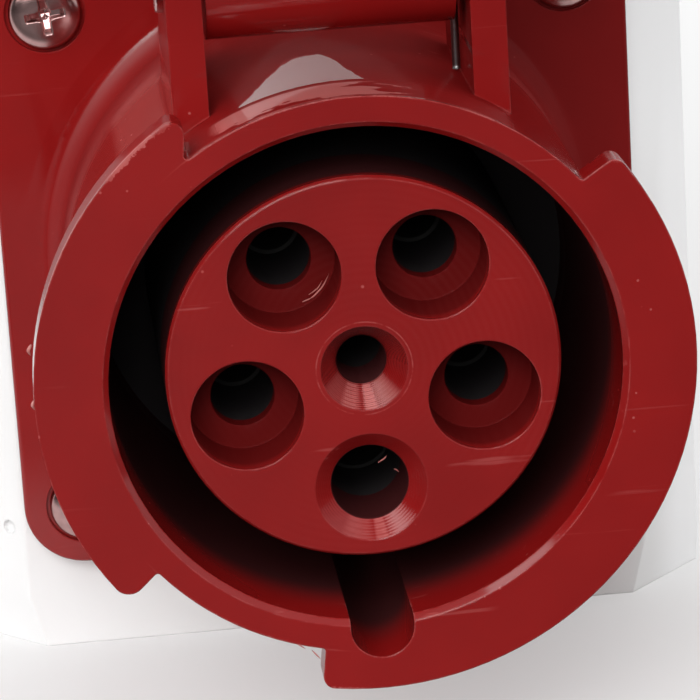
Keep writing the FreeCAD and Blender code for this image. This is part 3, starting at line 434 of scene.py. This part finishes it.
def red_plastic(name, worn=False):
    """The red of the moulded pieces. Worn adds what only the socket's body shows: wear, and painted
    shade, shadow, highlight and reflection.
    """
    finish = Finish(name)
    cloud = finish.noise(38.0, detail=3.0, rough=0.55)
    ripple = finish.noise(260.0)
    grain = finish.noise(2400.0)
    at_front = (finish.axis("Y") - MOUTH_Y).below(*FRONT_PART)
    broken = finish.noise(420.0, detail=4.0, rough=0.65).above(*BROKEN_RANGE)
    # Pale edges: partly flash, partly a painted edge highlight on every edge that the rounded normal
    # finds
    flash = finish.edge() * (at_front * 0.75 + 0.25) * broken
    if worn:
        hill_gloss_and_painted_highlight, dull, painted_collar_reflection = barrel_top(finish)
        painted_bore_shade, root, plate_right_painted_shadow, rim_side, painted_barrel_light = body_shade(finish)
        # Painted light in the colour: the collar patch is a painted reflection, the hill a painted
        # highlight, and the barrel's left a painted lit side and a painted reflection streak
        flash = flash.largest(flange_wear(finish), painted_collar_reflection * 1.1 + hill_gloss_and_painted_highlight * 0.5, painted_barrel_light)
    patches = finish.noise(55.0).above(0.50, 0.66)
    crossing = (finish.scratches(*CROSS_MARKS) + finish.scratches(*STEEP_MARKS)) * patches
    marks = (finish.scratches(*LONG_MARKS) * 0.5 + crossing * 0.6) * 0.32
    speckled = finish.noise(90.0, detail=1.0).above(0.52, 0.6)
    specks = finish.dots(300.0).below(0.045, 0.075) * speckled * 0.45
    pale = (flash * 0.72 + marks + specks).math("MINIMUM", 1.0)
    colour = finish.mix(cloud.above(*CLOUD_RANGE), RED_DEEP, RED)
    colour = finish.mix(pale, colour, RED_CHALK)
    height = ripple * 0.08 + grain * 0.02 - marks * 0.9 + specks * 0.6
    normal = finish.bump(height, RED_BUMP, 0.5, finish.soft_edge(EDGE_ROUND))
    rough = cloud * 0.04 + RED_GLOSS + pale * 0.35
    if not worn:
        return finish.surface(Base_Color=colour, Roughness=rough, Normal=normal, IOR=PLASTIC_IOR)
    # Painted shade deep in the bore and key slot, and a painted shadow on the plate's right, as darker
    # red
    colour = finish.mix((painted_bore_shade * 0.95).largest(plate_right_painted_shadow * 0.3), colour, RED_PAINTED_SHADE)
    matt = (dull * 0.9).largest(painted_bore_shade * 0.9, plate_right_painted_shadow * 0.85, rim_side * 0.75)
    return finish.surface(dull=matt, Base_Color=colour, Roughness=rough + root * 0.4, Normal=normal,
                          IOR=PLASTIC_IOR, Coat_Weight=hill_gloss_and_painted_highlight, Coat_Roughness=0.07, Coat_IOR=2.4)


# %% [markdown]
# The insert was machined after moulding: its face carries rings from the cutter, and the pilot cone
# and earth cone show turned rings. On the cones, radial bands are painted paler as painted highlights,
# broken by the rings. Rings follow the distance from a hole's axis, so each cone reads its own axis.
# The wells, the bores and the insert's side are dull and painted dark, a painted shade.

# %% Red insert
INSERT_RECESS = 4.85 * MM
INSERT_RADIUS = BORE_RADIUS - 8.2 * MM
EARTH_AXIS = (0.0, -17.9 * MM)
PILOT_BORE = 3.55 * MM
EARTH_BORE = 5.55 * MM
BORE_EDGE = (0.05 * MM, 0.2 * MM)
PILOT_CONE = (6.3 * MM, 6.5 * MM)
EARTH_CONE = (8.1 * MM, 8.3 * MM)
CONE_START = (0.05 * MM, 0.15 * MM)
FACE_END = (0.5 * MM, 0.8 * MM)
WELL_START = (0.5 * MM, 3.0 * MM)
SIDE_EDGE = (-0.3 * MM, -0.1 * MM)
SIDE_START = (0.4 * MM, 2.5 * MM)
OUTER_RIM_HIGHLIGHT = (20.0 * MM, 27.0 * MM)
# Painted highlight bands of each turned cone: middle and half width in degrees, and how pale
PILOT_PAINTED_HIGHLIGHTS = ((277.0, 8.0, 1.00), (246.0, 12.0, 0.62), (305.0, 14.0, 0.34), (220.0, 14.0, 0.18))
EARTH_PAINTED_HIGHLIGHTS = ((279.0, 6.0, 0.42), (303.0, 14.0, 0.20), (252.0, 14.0, 0.20))
# Turned rings of the cones, rings of the face with their wobble, and the circle round the pilot cone
CUT_RATE = 20000.0
CUT_DEPTH = 0.042 * MM
RING_RATE = 5200.0
RING_WOBBLE = 0.2 * MM
CIRCLE_RADIUS = 6.9 * MM
CIRCLE_WIDTH = (0.05 * MM, 0.14 * MM)
INSERT_MARKS = (420.0, 12.0, 0.7, 0.70, 0.78, 5.0)
INSERT_GLOSS = 0.11
INSERT_BUMP = 0.06 * MM


def painted_cone_highlights(finish, depth, in_cone, cones):
    """Painted highlights: radial bands of paler colour on the turned cones, each broken by the cutter's
    rings.
    """
    bands = [angle.near(middle, half, start=1.5, full=0.4) * radius.below(*EARTH_CONE) * paleness
             for (radius, angle), rows in cones for middle, half, paleness in rows]
    rings = (depth * CUT_RATE * 0.5).math("SINE") * 0.18 + 0.82
    mottle = finish.noise(1500.0, rough=0.6) * 0.6 + 0.75
    return bands[0].largest(*bands[1:]) * in_cone * rings * mottle


def turned_insert(name):
    finish = Finish(name)
    cloud = finish.noise(45.0, detail=3.0, rough=0.55)
    grain = finish.noise(2200.0)
    broken = finish.noise(420.0, detail=4.0, rough=0.65).above(*BROKEN_RANGE)
    pilot, pilot_turn = finish.polar()
    earth, earth_turn = finish.polar(EARTH_AXIS)
    depth = finish.axis("Y") - (MOUTH_Y + INSERT_RECESS)
    at_face = depth.below(*FACE_END)
    in_pilot = pilot.below(*PILOT_CONE)
    in_cone = depth.above(*CONE_START) * (in_pilot + earth.below(*EARTH_CONE))
    cuts = (depth * CUT_RATE).math("SINE") * in_cone * (in_pilot * 0.88 + 0.12)
    # Painted highlights on the cones
    bands = painted_cone_highlights(finish, depth, in_cone,
                       (((pilot, pilot_turn), PILOT_PAINTED_HIGHLIGHTS), ((earth, earth_turn), EARTH_PAINTED_HIGHLIGHTS)))
    wobble = finish.noise(200.0) * RING_WOBBLE
    face_rings = ((pilot + wobble) * RING_RATE).math("SINE") * 0.5 + 0.5
    sweep_marks = finish.noise(30.0, detail=1.0).above(0.4, 0.65)
    dust = finish.dots(260.0).below(0.05, 0.09) * finish.noise(70.0, detail=1.0).above(0.5, 0.6) * 0.5
    marks = finish.scratches(*INSERT_MARKS) * 0.25
    # Pale edges: partly flash, partly a painted edge highlight, stronger on the insert's outer rim
    flash = finish.edge() * broken * at_face * (pilot.above(*OUTER_RIM_HIGHLIGHT) * 0.35 + 0.25)
    circle = (pilot - CIRCLE_RADIUS).math("ABSOLUTE").below(*CIRCLE_WIDTH) * broken * at_face * 0.3
    in_well = depth.above(*WELL_START) * (1.0 - in_cone)
    in_bore = (pilot - PILOT_BORE).below(*BORE_EDGE) + (earth - EARTH_BORE).below(*BORE_EDGE)
    shaded = in_bore.largest((pilot - INSERT_RADIUS).above(*SIDE_EDGE) * depth.above(*SIDE_START))
    pale = flash + (dust + marks) * at_face + face_rings * sweep_marks * 0.015 + bands + circle
    pale = pale.math("MINIMUM", 1.0)
    colour = finish.mix(cloud.above(*CLOUD_RANGE), RED_DEEP, RED)
    # Painted shade: the wells are painted a darker red
    colour = finish.mix(in_well * 0.85, colour, RED_WELL_SHADE)
    colour = finish.mix(pale * (1.0 - shaded), colour, RED_CHALK)
    # Painted shade: the bores and the insert's side are painted dark, and the whole insert a little
    # darker
    colour = finish.mix(shaded * 0.88 + 0.05, colour, RED_PAINTED_SHADE)
    height = face_rings * 0.003 + grain * 0.02 - marks * 0.8
    normal = finish.bump(height, INSERT_BUMP, 0.6, finish.soft_edge(EDGE_ROUND))
    normal = finish.bump(cuts, CUT_DEPTH, 1.0, normal)
    return finish.surface(dull=(in_well * 0.95).largest(shaded * 0.95), Base_Color=colour,
                          Roughness=cloud * 0.04 + INSERT_GLOSS + pale * 0.25, Normal=normal,
                          IOR=PLASTIC_IOR)


# %% [markdown]
# The surface box is white moulded plastic with a very fine grain. Its colour is kept under white so
# that the light can shade it. It is painted paler on the right and at the upper right, painted light.

# %% White box plastic
WHITE_DEEP = (0.80, 0.80, 0.795)
WHITE = (0.84, 0.84, 0.84)
WHITE_PAINTED_LIGHT = (0.95, 0.955, 0.96)
WHITE_SCUFF = (0.6, 0.59, 0.58)
SCUFF_MARKS = (300.0, 16.0, 0.5, 0.72, 0.80, 2.0)
UPPER_RIGHT_LIGHT = ((30.0 * MM, 50.0 * MM), (-30.0 * MM, 30.0 * MM))
RIGHT_SIDE_LIGHT = (51.0 * MM, 58.0 * MM)
WHITE_BUMP = 0.08 * MM
WHITE_EDGE = 0.5 * MM
WHITE_ROUGHNESS = 0.36


def white_plastic(name):
    finish = Finish(name)
    cloud = finish.noise(16.0, detail=3.0)
    grain = finish.noise(1500.0)
    ripple = finish.noise(120.0)
    x, z = finish.axis("X"), finish.axis("Z")
    # Painted light: the box's right and upper right are painted paler
    pale = (x.above(*UPPER_RIGHT_LIGHT[0]) * z.above(*UPPER_RIGHT_LIGHT[1])).largest(x.above(*RIGHT_SIDE_LIGHT))
    colour = finish.mix(cloud.above(*CLOUD_RANGE), WHITE_DEEP, WHITE)
    colour = finish.mix(pale, colour, WHITE_PAINTED_LIGHT)
    colour = finish.mix(finish.scratches(*SCUFF_MARKS) * 0.12, colour, WHITE_SCUFF)
    normal = finish.bump(ripple * 0.2 + grain * 0.1, WHITE_BUMP, 0.5, finish.soft_edge(WHITE_EDGE))
    return finish.surface(Base_Color=colour, Roughness=cloud * 0.1 + WHITE_ROUGHNESS, Normal=normal,
                          IOR=PLASTIC_IOR)


# %% [markdown]
# The other finishes are plated steel for screws, pin and springs, brass for the contacts, which is
# painted near black at the front where the holes show it, a painted shade, rubber for the seals, and
# grey and black plastic for the gland, the core and the plate behind the contacts.

# %% Metals, rubber and other plastics
STEEL = (0.51, 0.32, 0.31)
SPRING_STEEL = (0.20, 0.19, 0.19)
BRASS = (0.70, 0.47, 0.19)
BRASS_DEEP = (0.56, 0.36, 0.14)
BRASS_PAINTED_SHADE = (0.012, 0.010, 0.009)
PAINTED_SHADE_END = (-78.0 * MM, -74.0 * MM)
METAL_CLOUD = (0.35, 0.7)
METAL_BUMP = 0.03 * MM
MATT_BUMP = 0.06 * MM
STEEL_EDGE = 0.12 * MM
BRASS_EDGE = 0.2 * MM
MATT_EDGE = 0.3 * MM


def plated_steel(name, colour=STEEL, rough=0.17):
    finish = Finish(name)
    cloud = finish.noise(500.0, detail=3.0, rough=0.6)
    fine = finish.noise(3500.0)
    tint = finish.mix(cloud.above(*METAL_CLOUD), colour, tuple(0.82 * c for c in colour))
    normal = finish.bump(cloud * 0.5 + fine * 0.2, METAL_BUMP, 0.6, finish.soft_edge(STEEL_EDGE))
    return finish.surface(Base_Color=tint, Metallic=1.0, Roughness=cloud * 0.12 + rough, Normal=normal)


def machined_brass(name):
    finish = Finish(name)
    cloud = finish.noise(300.0, detail=3.0, rough=0.6)
    lathe = finish.noise(900.0, vector=finish.mapped(scale=(0.15, 6.0, 0.15)))
    # Painted shade: the brass is painted near black and not metallic at the front, deep in the holes
    front_painted_shade = finish.axis("Y").below(*PAINTED_SHADE_END)
    tint = finish.mix(cloud.above(*METAL_CLOUD), BRASS, BRASS_DEEP)
    tint = finish.mix(front_painted_shade, tint, BRASS_PAINTED_SHADE)
    normal = finish.bump(lathe, METAL_BUMP, 0.7, finish.soft_edge(BRASS_EDGE))
    return finish.surface(Base_Color=tint, Metallic=1.0 - front_painted_shade,
                          Roughness=cloud * 0.15 + 0.22 + front_painted_shade * 0.4, Normal=normal)


def matt_material(name, colour, shade, rough, dull=None):
    finish = Finish(name)
    cloud = finish.noise(90.0, detail=3.0, rough=0.55)
    grain = finish.noise(900.0, detail=3.0, rough=0.6)
    tint = finish.mix(cloud.above(*CLOUD_RANGE), colour, shade)
    normal = finish.bump(grain, MATT_BUMP, 0.6, finish.soft_edge(MATT_EDGE))
    return finish.surface(dull=dull, Base_Color=tint, Roughness=cloud * 0.1 + rough, Normal=normal)


FINISHES = {
    "red_plastic": red_plastic("red plastic"),
    "insert_red": turned_insert("red insert"),
    "white_plastic": white_plastic("white plastic"),
    "grey_plastic": matt_material("grey plastic", (0.42, 0.43, 0.44), (0.37, 0.38, 0.39), 0.38),
    "black_plastic": matt_material("black plastic", (0.019, 0.0155, 0.0165), (0.023, 0.019, 0.020), 0.7,
                                   dull=0.85),
    "seal_rubber": matt_material("rubber", (0.028, 0.028, 0.03), (0.04, 0.04, 0.04), 0.6),
    "bright_steel": plated_steel("plated steel"),
    "contact_brass": machined_brass("brass"),
}
print("finishes", len(FINISHES))

# %% [markdown]
# The model's nodes are loose triangles, so a curved wall would show its facets. Welding the doubles
# and splitting only where two faces meet at a real angle lets the curved walls shade smoothly and
# keeps the edges sharp. Both are modifiers, so the node's own mesh stays as it was.

# %% Dress the nodes
WELD_DISTANCE = 0.001 * MM
SHARP_ANGLE = math.radians(32.0)


def smooth_walls(piece):
    weld = piece.modifiers.new("weld", "WELD")
    weld.merge_threshold = WELD_DISTANCE
    split = piece.modifiers.new("edges", "EDGE_SPLIT")
    split.split_angle = SHARP_ANGLE
    piece.data.polygons.foreach_set("use_smooth", np.ones(len(piece.data.polygons), bool))


slot_of = {row["node"]: row["material_slot"] for row in frame["record"]["subparts"]}
# The socket's body carries wear, and painted shade, shadow, highlight and reflection
OWN_FINISHES = {"socket_body": red_plastic("worn red plastic", worn=True)}
for name, node in NODES.items():
    smooth_walls(node)
    node.data.materials.clear()
    node.data.materials.append(OWN_FINISHES.get(name, FINISHES[slot_of[name]]))
print("dressed", len(NODES), "nodes")

# %% [markdown]
# New pieces are grids: a function gives a point for each pair of parameters, the whole grid is worked
# out at once, and neighbouring points make the faces. Each row of a grid is a closed ring.


# %% Grid pieces
def grid_faces(rows, columns):
    """Quads between neighbouring points of a grid stored row by row, each row closed on itself."""
    r, c = np.meshgrid(np.arange(rows - 1), np.arange(columns), indexing="ij")
    here, there = r * columns + c, r * columns + (c + 1) % columns
    return np.stack([here, there, there + columns, here + columns], -1).reshape(-1, 4)


def make_piece(name, points, faces, material, body):
    """A smooth mesh object at the origin that rides on a body."""
    mesh = bpy.data.meshes.new(name)
    mesh.from_pydata(np.asarray(points, float).tolist(), [], faces)
    mesh.validate()
    mesh.polygons.foreach_set("use_smooth", np.ones(len(mesh.polygons), bool))
    mesh.materials.append(material)
    piece = bpy.data.objects.new(name, mesh)
    bpy.context.scene.collection.objects.link(piece)
    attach(piece, body)
    return piece


def sweep(path, radius, sides):
    """A round wire along a path: rings of points across each step, closed with flat ends."""
    path = np.asarray(path, float)
    along = np.gradient(path, axis=0)
    along /= np.linalg.norm(along, axis=1, keepdims=True)
    helper = np.where(np.abs(along[:, :1]) < 0.9, [[1.0, 0.0, 0.0]], [[0.0, 0.0, 1.0]])
    side = np.cross(along, helper)
    side /= np.linalg.norm(side, axis=1, keepdims=True)
    lift = np.cross(side, along)
    turn_angle = np.linspace(0.0, 2.0 * np.pi, sides, endpoint=False)
    radius = np.broadcast_to(np.asarray(radius, float), (len(path),))[:, None, None]
    ring = (np.cos(turn_angle)[None, :, None] * side[:, None, :]
            + np.sin(turn_angle)[None, :, None] * lift[:, None, :])
    points = (path[:, None, :] + radius * ring).reshape(-1, 3)
    faces = grid_faces(len(path), sides).tolist()
    last = (len(path) - 1) * sides
    faces.append(list(range(sides)))
    faces.append([last + k for k in reversed(range(sides))])
    return points, faces


def join_grids(parts):
    """Several grids as one list of points and faces."""
    points, faces, start = [], [], 0
    for part_points, part_faces in parts:
        points.append(part_points)
        faces += [[k + start for k in f] for f in part_faces]
        start += len(part_points)
    return np.vstack(points), faces


# %% [markdown]
# Each plate screw has a pan head with a cross recess, pressed so that its wings taper towards the
# middle. The head is a round grid: the dome's height falls with the radius, and the recess is cut
# down where a point lies within a wing's width of either arm of the cross.

# %% Plate screws
HEAD_RADIUS = 5.6 * MM
HEAD_HEIGHT = 2.7 * MM
# The dome's height at its rim, as a share of the head's, and the power of its fall
DOME_RIM = 0.30
DOME_POWER = 3.2
# The recess: its depth in the middle, and the share of it that is left at a wing's end
RECESS_DEPTH = 1.9 * MM
RECESS_END = 0.45
WING_LENGTH = 3.1 * MM
WING_END_SLOPE = 0.75 * MM
WING_HALF_WIDTH = 0.62 * MM
WING_FLANK = 0.10 * MM
# The wings widen towards the middle, by this much and over this length
WING_WIDENING = 0.35 * MM
WIDENING_LENGTH = 1.4 * MM
# The power by which the rings crowd towards the rim, and each head's turn in radians
RING_POWER = 0.9
SCREW_TURNS = (0.12, 0.95, 0.55, 0.30)


def screw_head(centre, turned_by, rings=46, spokes=144):
    """Height over the plane of the head: dome minus recess, on rings from the middle to the rim."""
    share = np.linspace(0.0, 1.0, rings)[:, None] ** RING_POWER
    angle = np.linspace(0.0, 2.0 * np.pi, spokes, endpoint=False)[None, :]
    radius = np.broadcast_to(share * HEAD_RADIUS, (rings, spokes))
    x, z = radius * np.cos(angle), radius * np.sin(angle)
    fall = np.sqrt(np.clip(1.0 - (radius / HEAD_RADIUS) ** DOME_POWER, 0.0, 1.0))
    dome = HEAD_HEIGHT * (DOME_RIM + (1.0 - DOME_RIM) * fall)
    cos_t, sin_t = math.cos(turned_by), math.sin(turned_by)
    u, v = x * cos_t + z * sin_t, -x * sin_t + z * cos_t
    arms = []
    for along, across in ((np.abs(u), np.abs(v)), (np.abs(v), np.abs(u))):
        reach = np.clip((WING_LENGTH - along) / WING_END_SLOPE, 0.0, 1.0)
        width = WING_HALF_WIDTH + WING_WIDENING * np.clip(1.0 - along / WIDENING_LENGTH, 0.0, 1.0)
        flank = np.clip((width - across) / WING_FLANK, 0.0, 1.0)
        depth = RECESS_END + (1.0 - RECESS_END) * np.clip(1.0 - along / WING_LENGTH, 0.0, 1.0)
        arms.append(reach * flank * depth)
    height = dome - RECESS_DEPTH * np.maximum(*arms)
    top = np.stack([centre[0] + x, centre[1] - height, centre[2] + z], -1).reshape(-1, 3)
    skirt = np.stack([centre[0] + x[-1], np.full(spokes, centre[1]), centre[2] + z[-1]], -1)
    faces = grid_faces(rings + 1, spokes)[:, ::-1].tolist()
    faces.append([rings * spokes + k for k in range(spokes)])
    return np.vstack([top, skirt]), faces


half_spacing = (screw_high.x - screw_low.x) / 2 - HEAD_RADIUS
head_seat = screw_low.y + HEAD_HEIGHT
places = [(x * half_spacing, head_seat, z * half_spacing) for x in (-1, 1) for z in (1, -1)]
points, faces = join_grids(screw_head(place, angle) for place, angle in zip(places, SCREW_TURNS))
screws = make_piece("plate_screw_heads", points, faces, FINISHES["bright_steel"], "housing")
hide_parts("flange_screws")
print("screw heads", len(faces), "faces")

# %% [markdown]
# The lid's spring is a real coil here. Its wire is carried along a helix about the hinge pin, and the
# last turn runs straight down to rest on the barrel.

# %% Lid spring
WIRE_RADIUS = 0.6 * MM
WIRE_SIDES = 12
COIL_RADIUS = 3.7 * MM
COIL_TURNS = 7
STEPS_IN_TURN = 36
LEG_STEPS = 23
leg_x = spring_high.x - WIRE_RADIUS
turns = np.linspace(0.0, 2.0 * np.pi * COIL_TURNS, COIL_TURNS * STEPS_IN_TURN)
first_x = spring_low.x + WIRE_RADIUS
coil = np.stack([first_x + (leg_x - first_x) * turns / turns[-1], HINGE_Y + COIL_RADIUS * np.cos(turns),
                 HINGE_Z - COIL_RADIUS * np.sin(turns)], -1)
leg_z = np.linspace(HINGE_Z, spring_low.z, LEG_STEPS + 1)[1:]
leg = np.stack([np.full(LEG_STEPS, leg_x), np.full(LEG_STEPS, HINGE_Y + COIL_RADIUS), leg_z], -1)
points, faces = sweep(np.vstack([coil, leg]), WIRE_RADIUS, WIRE_SIDES)
spring_finish = plated_steel("spring steel", SPRING_STEEL, rough=0.30)
spring = make_piece("lid_spring_wire", points, faces, spring_finish, "housing")
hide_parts("lid_spring")

# %% [markdown]
# Flash from the mould and shavings from the cutter stand at a few edges: short curved whiskers that
# taper to a point. Each row gives the thickness and the points it runs through, in millimetres.

# %% Whiskers of flash
MOUTH = MOUTH_Y / MM
WHISKERS = (
    (0.12, ((-12.9, MOUTH + 0.2, -38.7), (-12.0, MOUTH + 0.05, -39.3), (-11.3, MOUTH + 0.1, -39.9))),
    (0.11, ((-10.4, MOUTH + 0.1, -40.2), (-9.75, MOUTH + 0.05, -41.0), (-9.2, MOUTH + 0.1, -41.7))),
    (0.06, ((2.1, MOUTH + 0.2, -42.3), (3.0, MOUTH + 0.08, -41.7), (3.9, MOUTH + 0.1, -41.2))),
    (0.05, ((4.0, MOUTH + 0.1, -41.0), (4.6, MOUTH + 0.06, -40.6), (5.1, MOUTH + 0.15, -40.0))),
    (0.15, ((14.2, MOUTH + 0.3, -34.6), (15.0, MOUTH + 0.1, -34.4), (15.8, MOUTH + 0.4, -34.0))),
    (0.26, ((-46.7, MOUTH + 0.3, 9.2), (-47.2, MOUTH + 0.2, 8.4), (-46.9, MOUTH + 0.4, 7.6))),
    (0.22, ((-47.0, MOUTH + 0.3, 1.0), (-47.3, MOUTH + 0.2, 0.35), (-47.0, MOUTH + 0.4, -0.4))),
    (0.12, ((1.4, MOUTH + 7.5, -15.2), (2.3, MOUTH + 7.0, -14.5), (2.6, MOUTH + 6.6, -13.9))),
    (0.10, ((4.3, MOUTH + 7.5, -16.9), (3.9, MOUTH + 7.1, -16.4), (3.5, MOUTH + 6.8, -16.1))),
    (0.13, ((-7.9, MOUTH + 9.2, 9.3), (-6.4, MOUTH + 9.0, 9.9), (-4.9, MOUTH + 8.8, 11.4),
            (-3.9, MOUTH + 8.6, 13.3))),
    (0.10, ((-6.9, MOUTH + 9.2, 10.3), (-5.6, MOUTH + 8.9, 11.2), (-4.9, MOUTH + 8.7, 12.4))),
)
WHISKER_STEPS = 14
WHISKER_SIDES = 7
# The part of a sine's arch that a whisker's thickness follows from its root to its point
WHISKER_TAPER = (0.5, 3.0)

taper = np.sin(np.linspace(*WHISKER_TAPER, WHISKER_STEPS))
parts = []
for thickness, stops in WHISKERS:
    stops = np.array(stops) * MM
    share = np.linspace(0.0, len(stops) - 1.0, WHISKER_STEPS)
    path = np.stack([np.interp(share, range(len(stops)), stops[:, k]) for k in range(3)], -1)
    path[1:-1] = (path[:-2] + path[1:-1] * 2.0 + path[2:]) / 4.0
    parts.append(sweep(path, thickness * MM * taper, WHISKER_SIDES))
points, faces = join_grids(parts)
flash_finish = matt_material("flash", (0.50, 0.16, 0.14), (0.56, 0.22, 0.20), 0.4)
make_piece("flash_whiskers", points, faces, flash_finish, "housing")
print("whiskers", len(WHISKERS))

# %% [markdown]
# The floor is a plain pale table. It turns white with distance, on all sides for the camera and behind
# the box for mirrors. Nothing else sees the white, so it adds no light to the object, and the table
# near the socket still takes its shadow.

# %% Table
TABLE_REACH = 6.0
TABLE_DEEP = (0.76, 0.75, 0.75)
TABLE_PALE = (0.79, 0.785, 0.785)
TABLE_DARK = (0.03, 0.03, 0.03)
TABLE_ROUGHNESS = 0.55
WHITE_STRENGTH = 0.97
# In metres: where the table is dark in front, where it turns white behind, and at what distance
DARK_FRONT = (-0.17, -0.12)
WHITE_BEHIND = (-0.02, 0.45)
WHITE_AWAY = (0.35, 1.2)
# The share of white that the camera sees even close to the socket
WHITE_NEAR = 0.33


def table_finish():
    finish = Finish("table")
    grain = finish.noise(8.0, detail=3.0)
    ray = finish.add("ShaderNodeLightPath")
    camera_ray = Signal(finish, ray.outputs["Is Camera Ray"])
    glossy_ray = Signal(finish, ray.outputs["Is Glossy Ray"])
    x, y = finish.axis("X"), finish.axis("Y")
    colour = finish.mix(grain.above(*CLOUD_RANGE), TABLE_DEEP, TABLE_PALE)
    colour = finish.mix(y.below(*DARK_FRONT) * (1.0 - camera_ray), colour, TABLE_DARK)
    matt = finish.add("ShaderNodeBsdfPrincipled", {}, {
        "Base Color": colour, "Roughness": TABLE_ROUGHNESS})
    white = finish.add("ShaderNodeEmission", {}, {
        "Color": (1.0, 1.0, 1.0), "Strength": WHITE_STRENGTH})
    behind = y.above(*WHITE_BEHIND)
    away = (x * x + y * y).math("SQRT").above(*WHITE_AWAY)
    seen = behind.largest(away) * (1.0 - WHITE_NEAR) + WHITE_NEAR
    mixed = finish.add("ShaderNodeMixShader", {}, {
        0: seen * camera_ray + behind * glossy_ray, 1: matt.outputs[0], 2: white.outputs[0]})
    out = finish.add("ShaderNodeOutputMaterial")
    finish.tree.links.new(mixed.outputs[0], out.inputs[0])
    return finish.material


corners = [(x * TABLE_REACH, y * TABLE_REACH, TABLE_Z) for x, y in ((-1, -1), (1, -1), (1, 1), (-1, 1))]
table_mesh = bpy.data.meshes.new("table")
table_mesh.from_pydata(corners, [], [[0, 1, 2, 3]])
table_mesh.materials.append(table_finish())
table = bpy.data.objects.new("table", table_mesh)
bpy.context.scene.collection.objects.link(table)

# %% [markdown]
# The light is a studio tent: a large soft lamp above and to the left, another in front on the left, a
# weak one above, and a pale room behind, above and at the right. The room is dark in front, as behind a
# camera, and the table's front part is dark to all but the camera, so the faces that look at the camera
# keep their deep red.

# %% Light
LAMP_TARGET = Vector((0.0, -0.10, 0.0))
# Each square lamp's name, place, size and power
LAMPS = (("key lamp", (-0.85, -1.05, 0.95), 1.0, 10.8),
         ("front lamp", (-0.26, -1.22, 0.61), 0.6, 9.9),
         ("top lamp", (0.10, -0.90, 0.75), 0.4, 0.9))
for name, place, size, power in LAMPS:
    lamp_data = bpy.data.lights.new(name, "AREA")
    lamp_data.shape = "SQUARE"
    lamp_data.size = size
    lamp_data.energy = power
    lamp = bpy.data.objects.new(name, lamp_data)
    lamp.location = place
    lamp.rotation_euler = (LAMP_TARGET - Vector(place)).to_track_quat("-Z", "Y").to_euler()
    bpy.context.scene.collection.objects.link(lamp)

ROOM_FRONT = 0.02
# Where the room turns pale: the axis of the direction, its start, its end and the strength there
ROOM_SIDES = (("Y", -0.25, 0.25, 1.00), ("X", 0.05, 0.50, 0.85), ("Z", 0.40, 0.85, 0.75))

world = bpy.data.worlds.new("room")
bpy.context.scene.world = world
world.use_nodes = True
nodes, links = world.node_tree.nodes, world.node_tree.links
nodes.clear()
direction = nodes.new("ShaderNodeTexCoord")
split = nodes.new("ShaderNodeSeparateXYZ")
links.new(direction.outputs["Object"], split.inputs[0])
strength = None
for axis, start, end, value in ROOM_SIDES:
    side = nodes.new("ShaderNodeMapRange")
    side.interpolation_type = "SMOOTHSTEP"
    links.new(split.outputs[axis], side.inputs[0])
    for index, number in enumerate((start, end, ROOM_FRONT, value), 1):
        side.inputs[index].default_value = number
    if strength is None:
        strength = side.outputs[0]
        continue
    larger = nodes.new("ShaderNodeMath")
    larger.operation = "MAXIMUM"
    links.new(strength, larger.inputs[0])
    links.new(side.outputs[0], larger.inputs[1])
    strength = larger.outputs[0]
room = nodes.new("ShaderNodeBackground")
links.new(strength, room.inputs["Strength"])
white = nodes.new("ShaderNodeBackground")
path = nodes.new("ShaderNodeLightPath")
mixed = nodes.new("ShaderNodeMixShader")
links.new(path.outputs["Is Camera Ray"], mixed.inputs[0])
links.new(room.outputs[0], mixed.inputs[1])
links.new(white.outputs[0], mixed.inputs[2])
out = nodes.new("ShaderNodeOutputWorld")
links.new(mixed.outputs[0], out.inputs[0])
for background in (room, white):
    background.inputs["Color"].default_value = (1.0, 1.0, 1.0, 1.0)
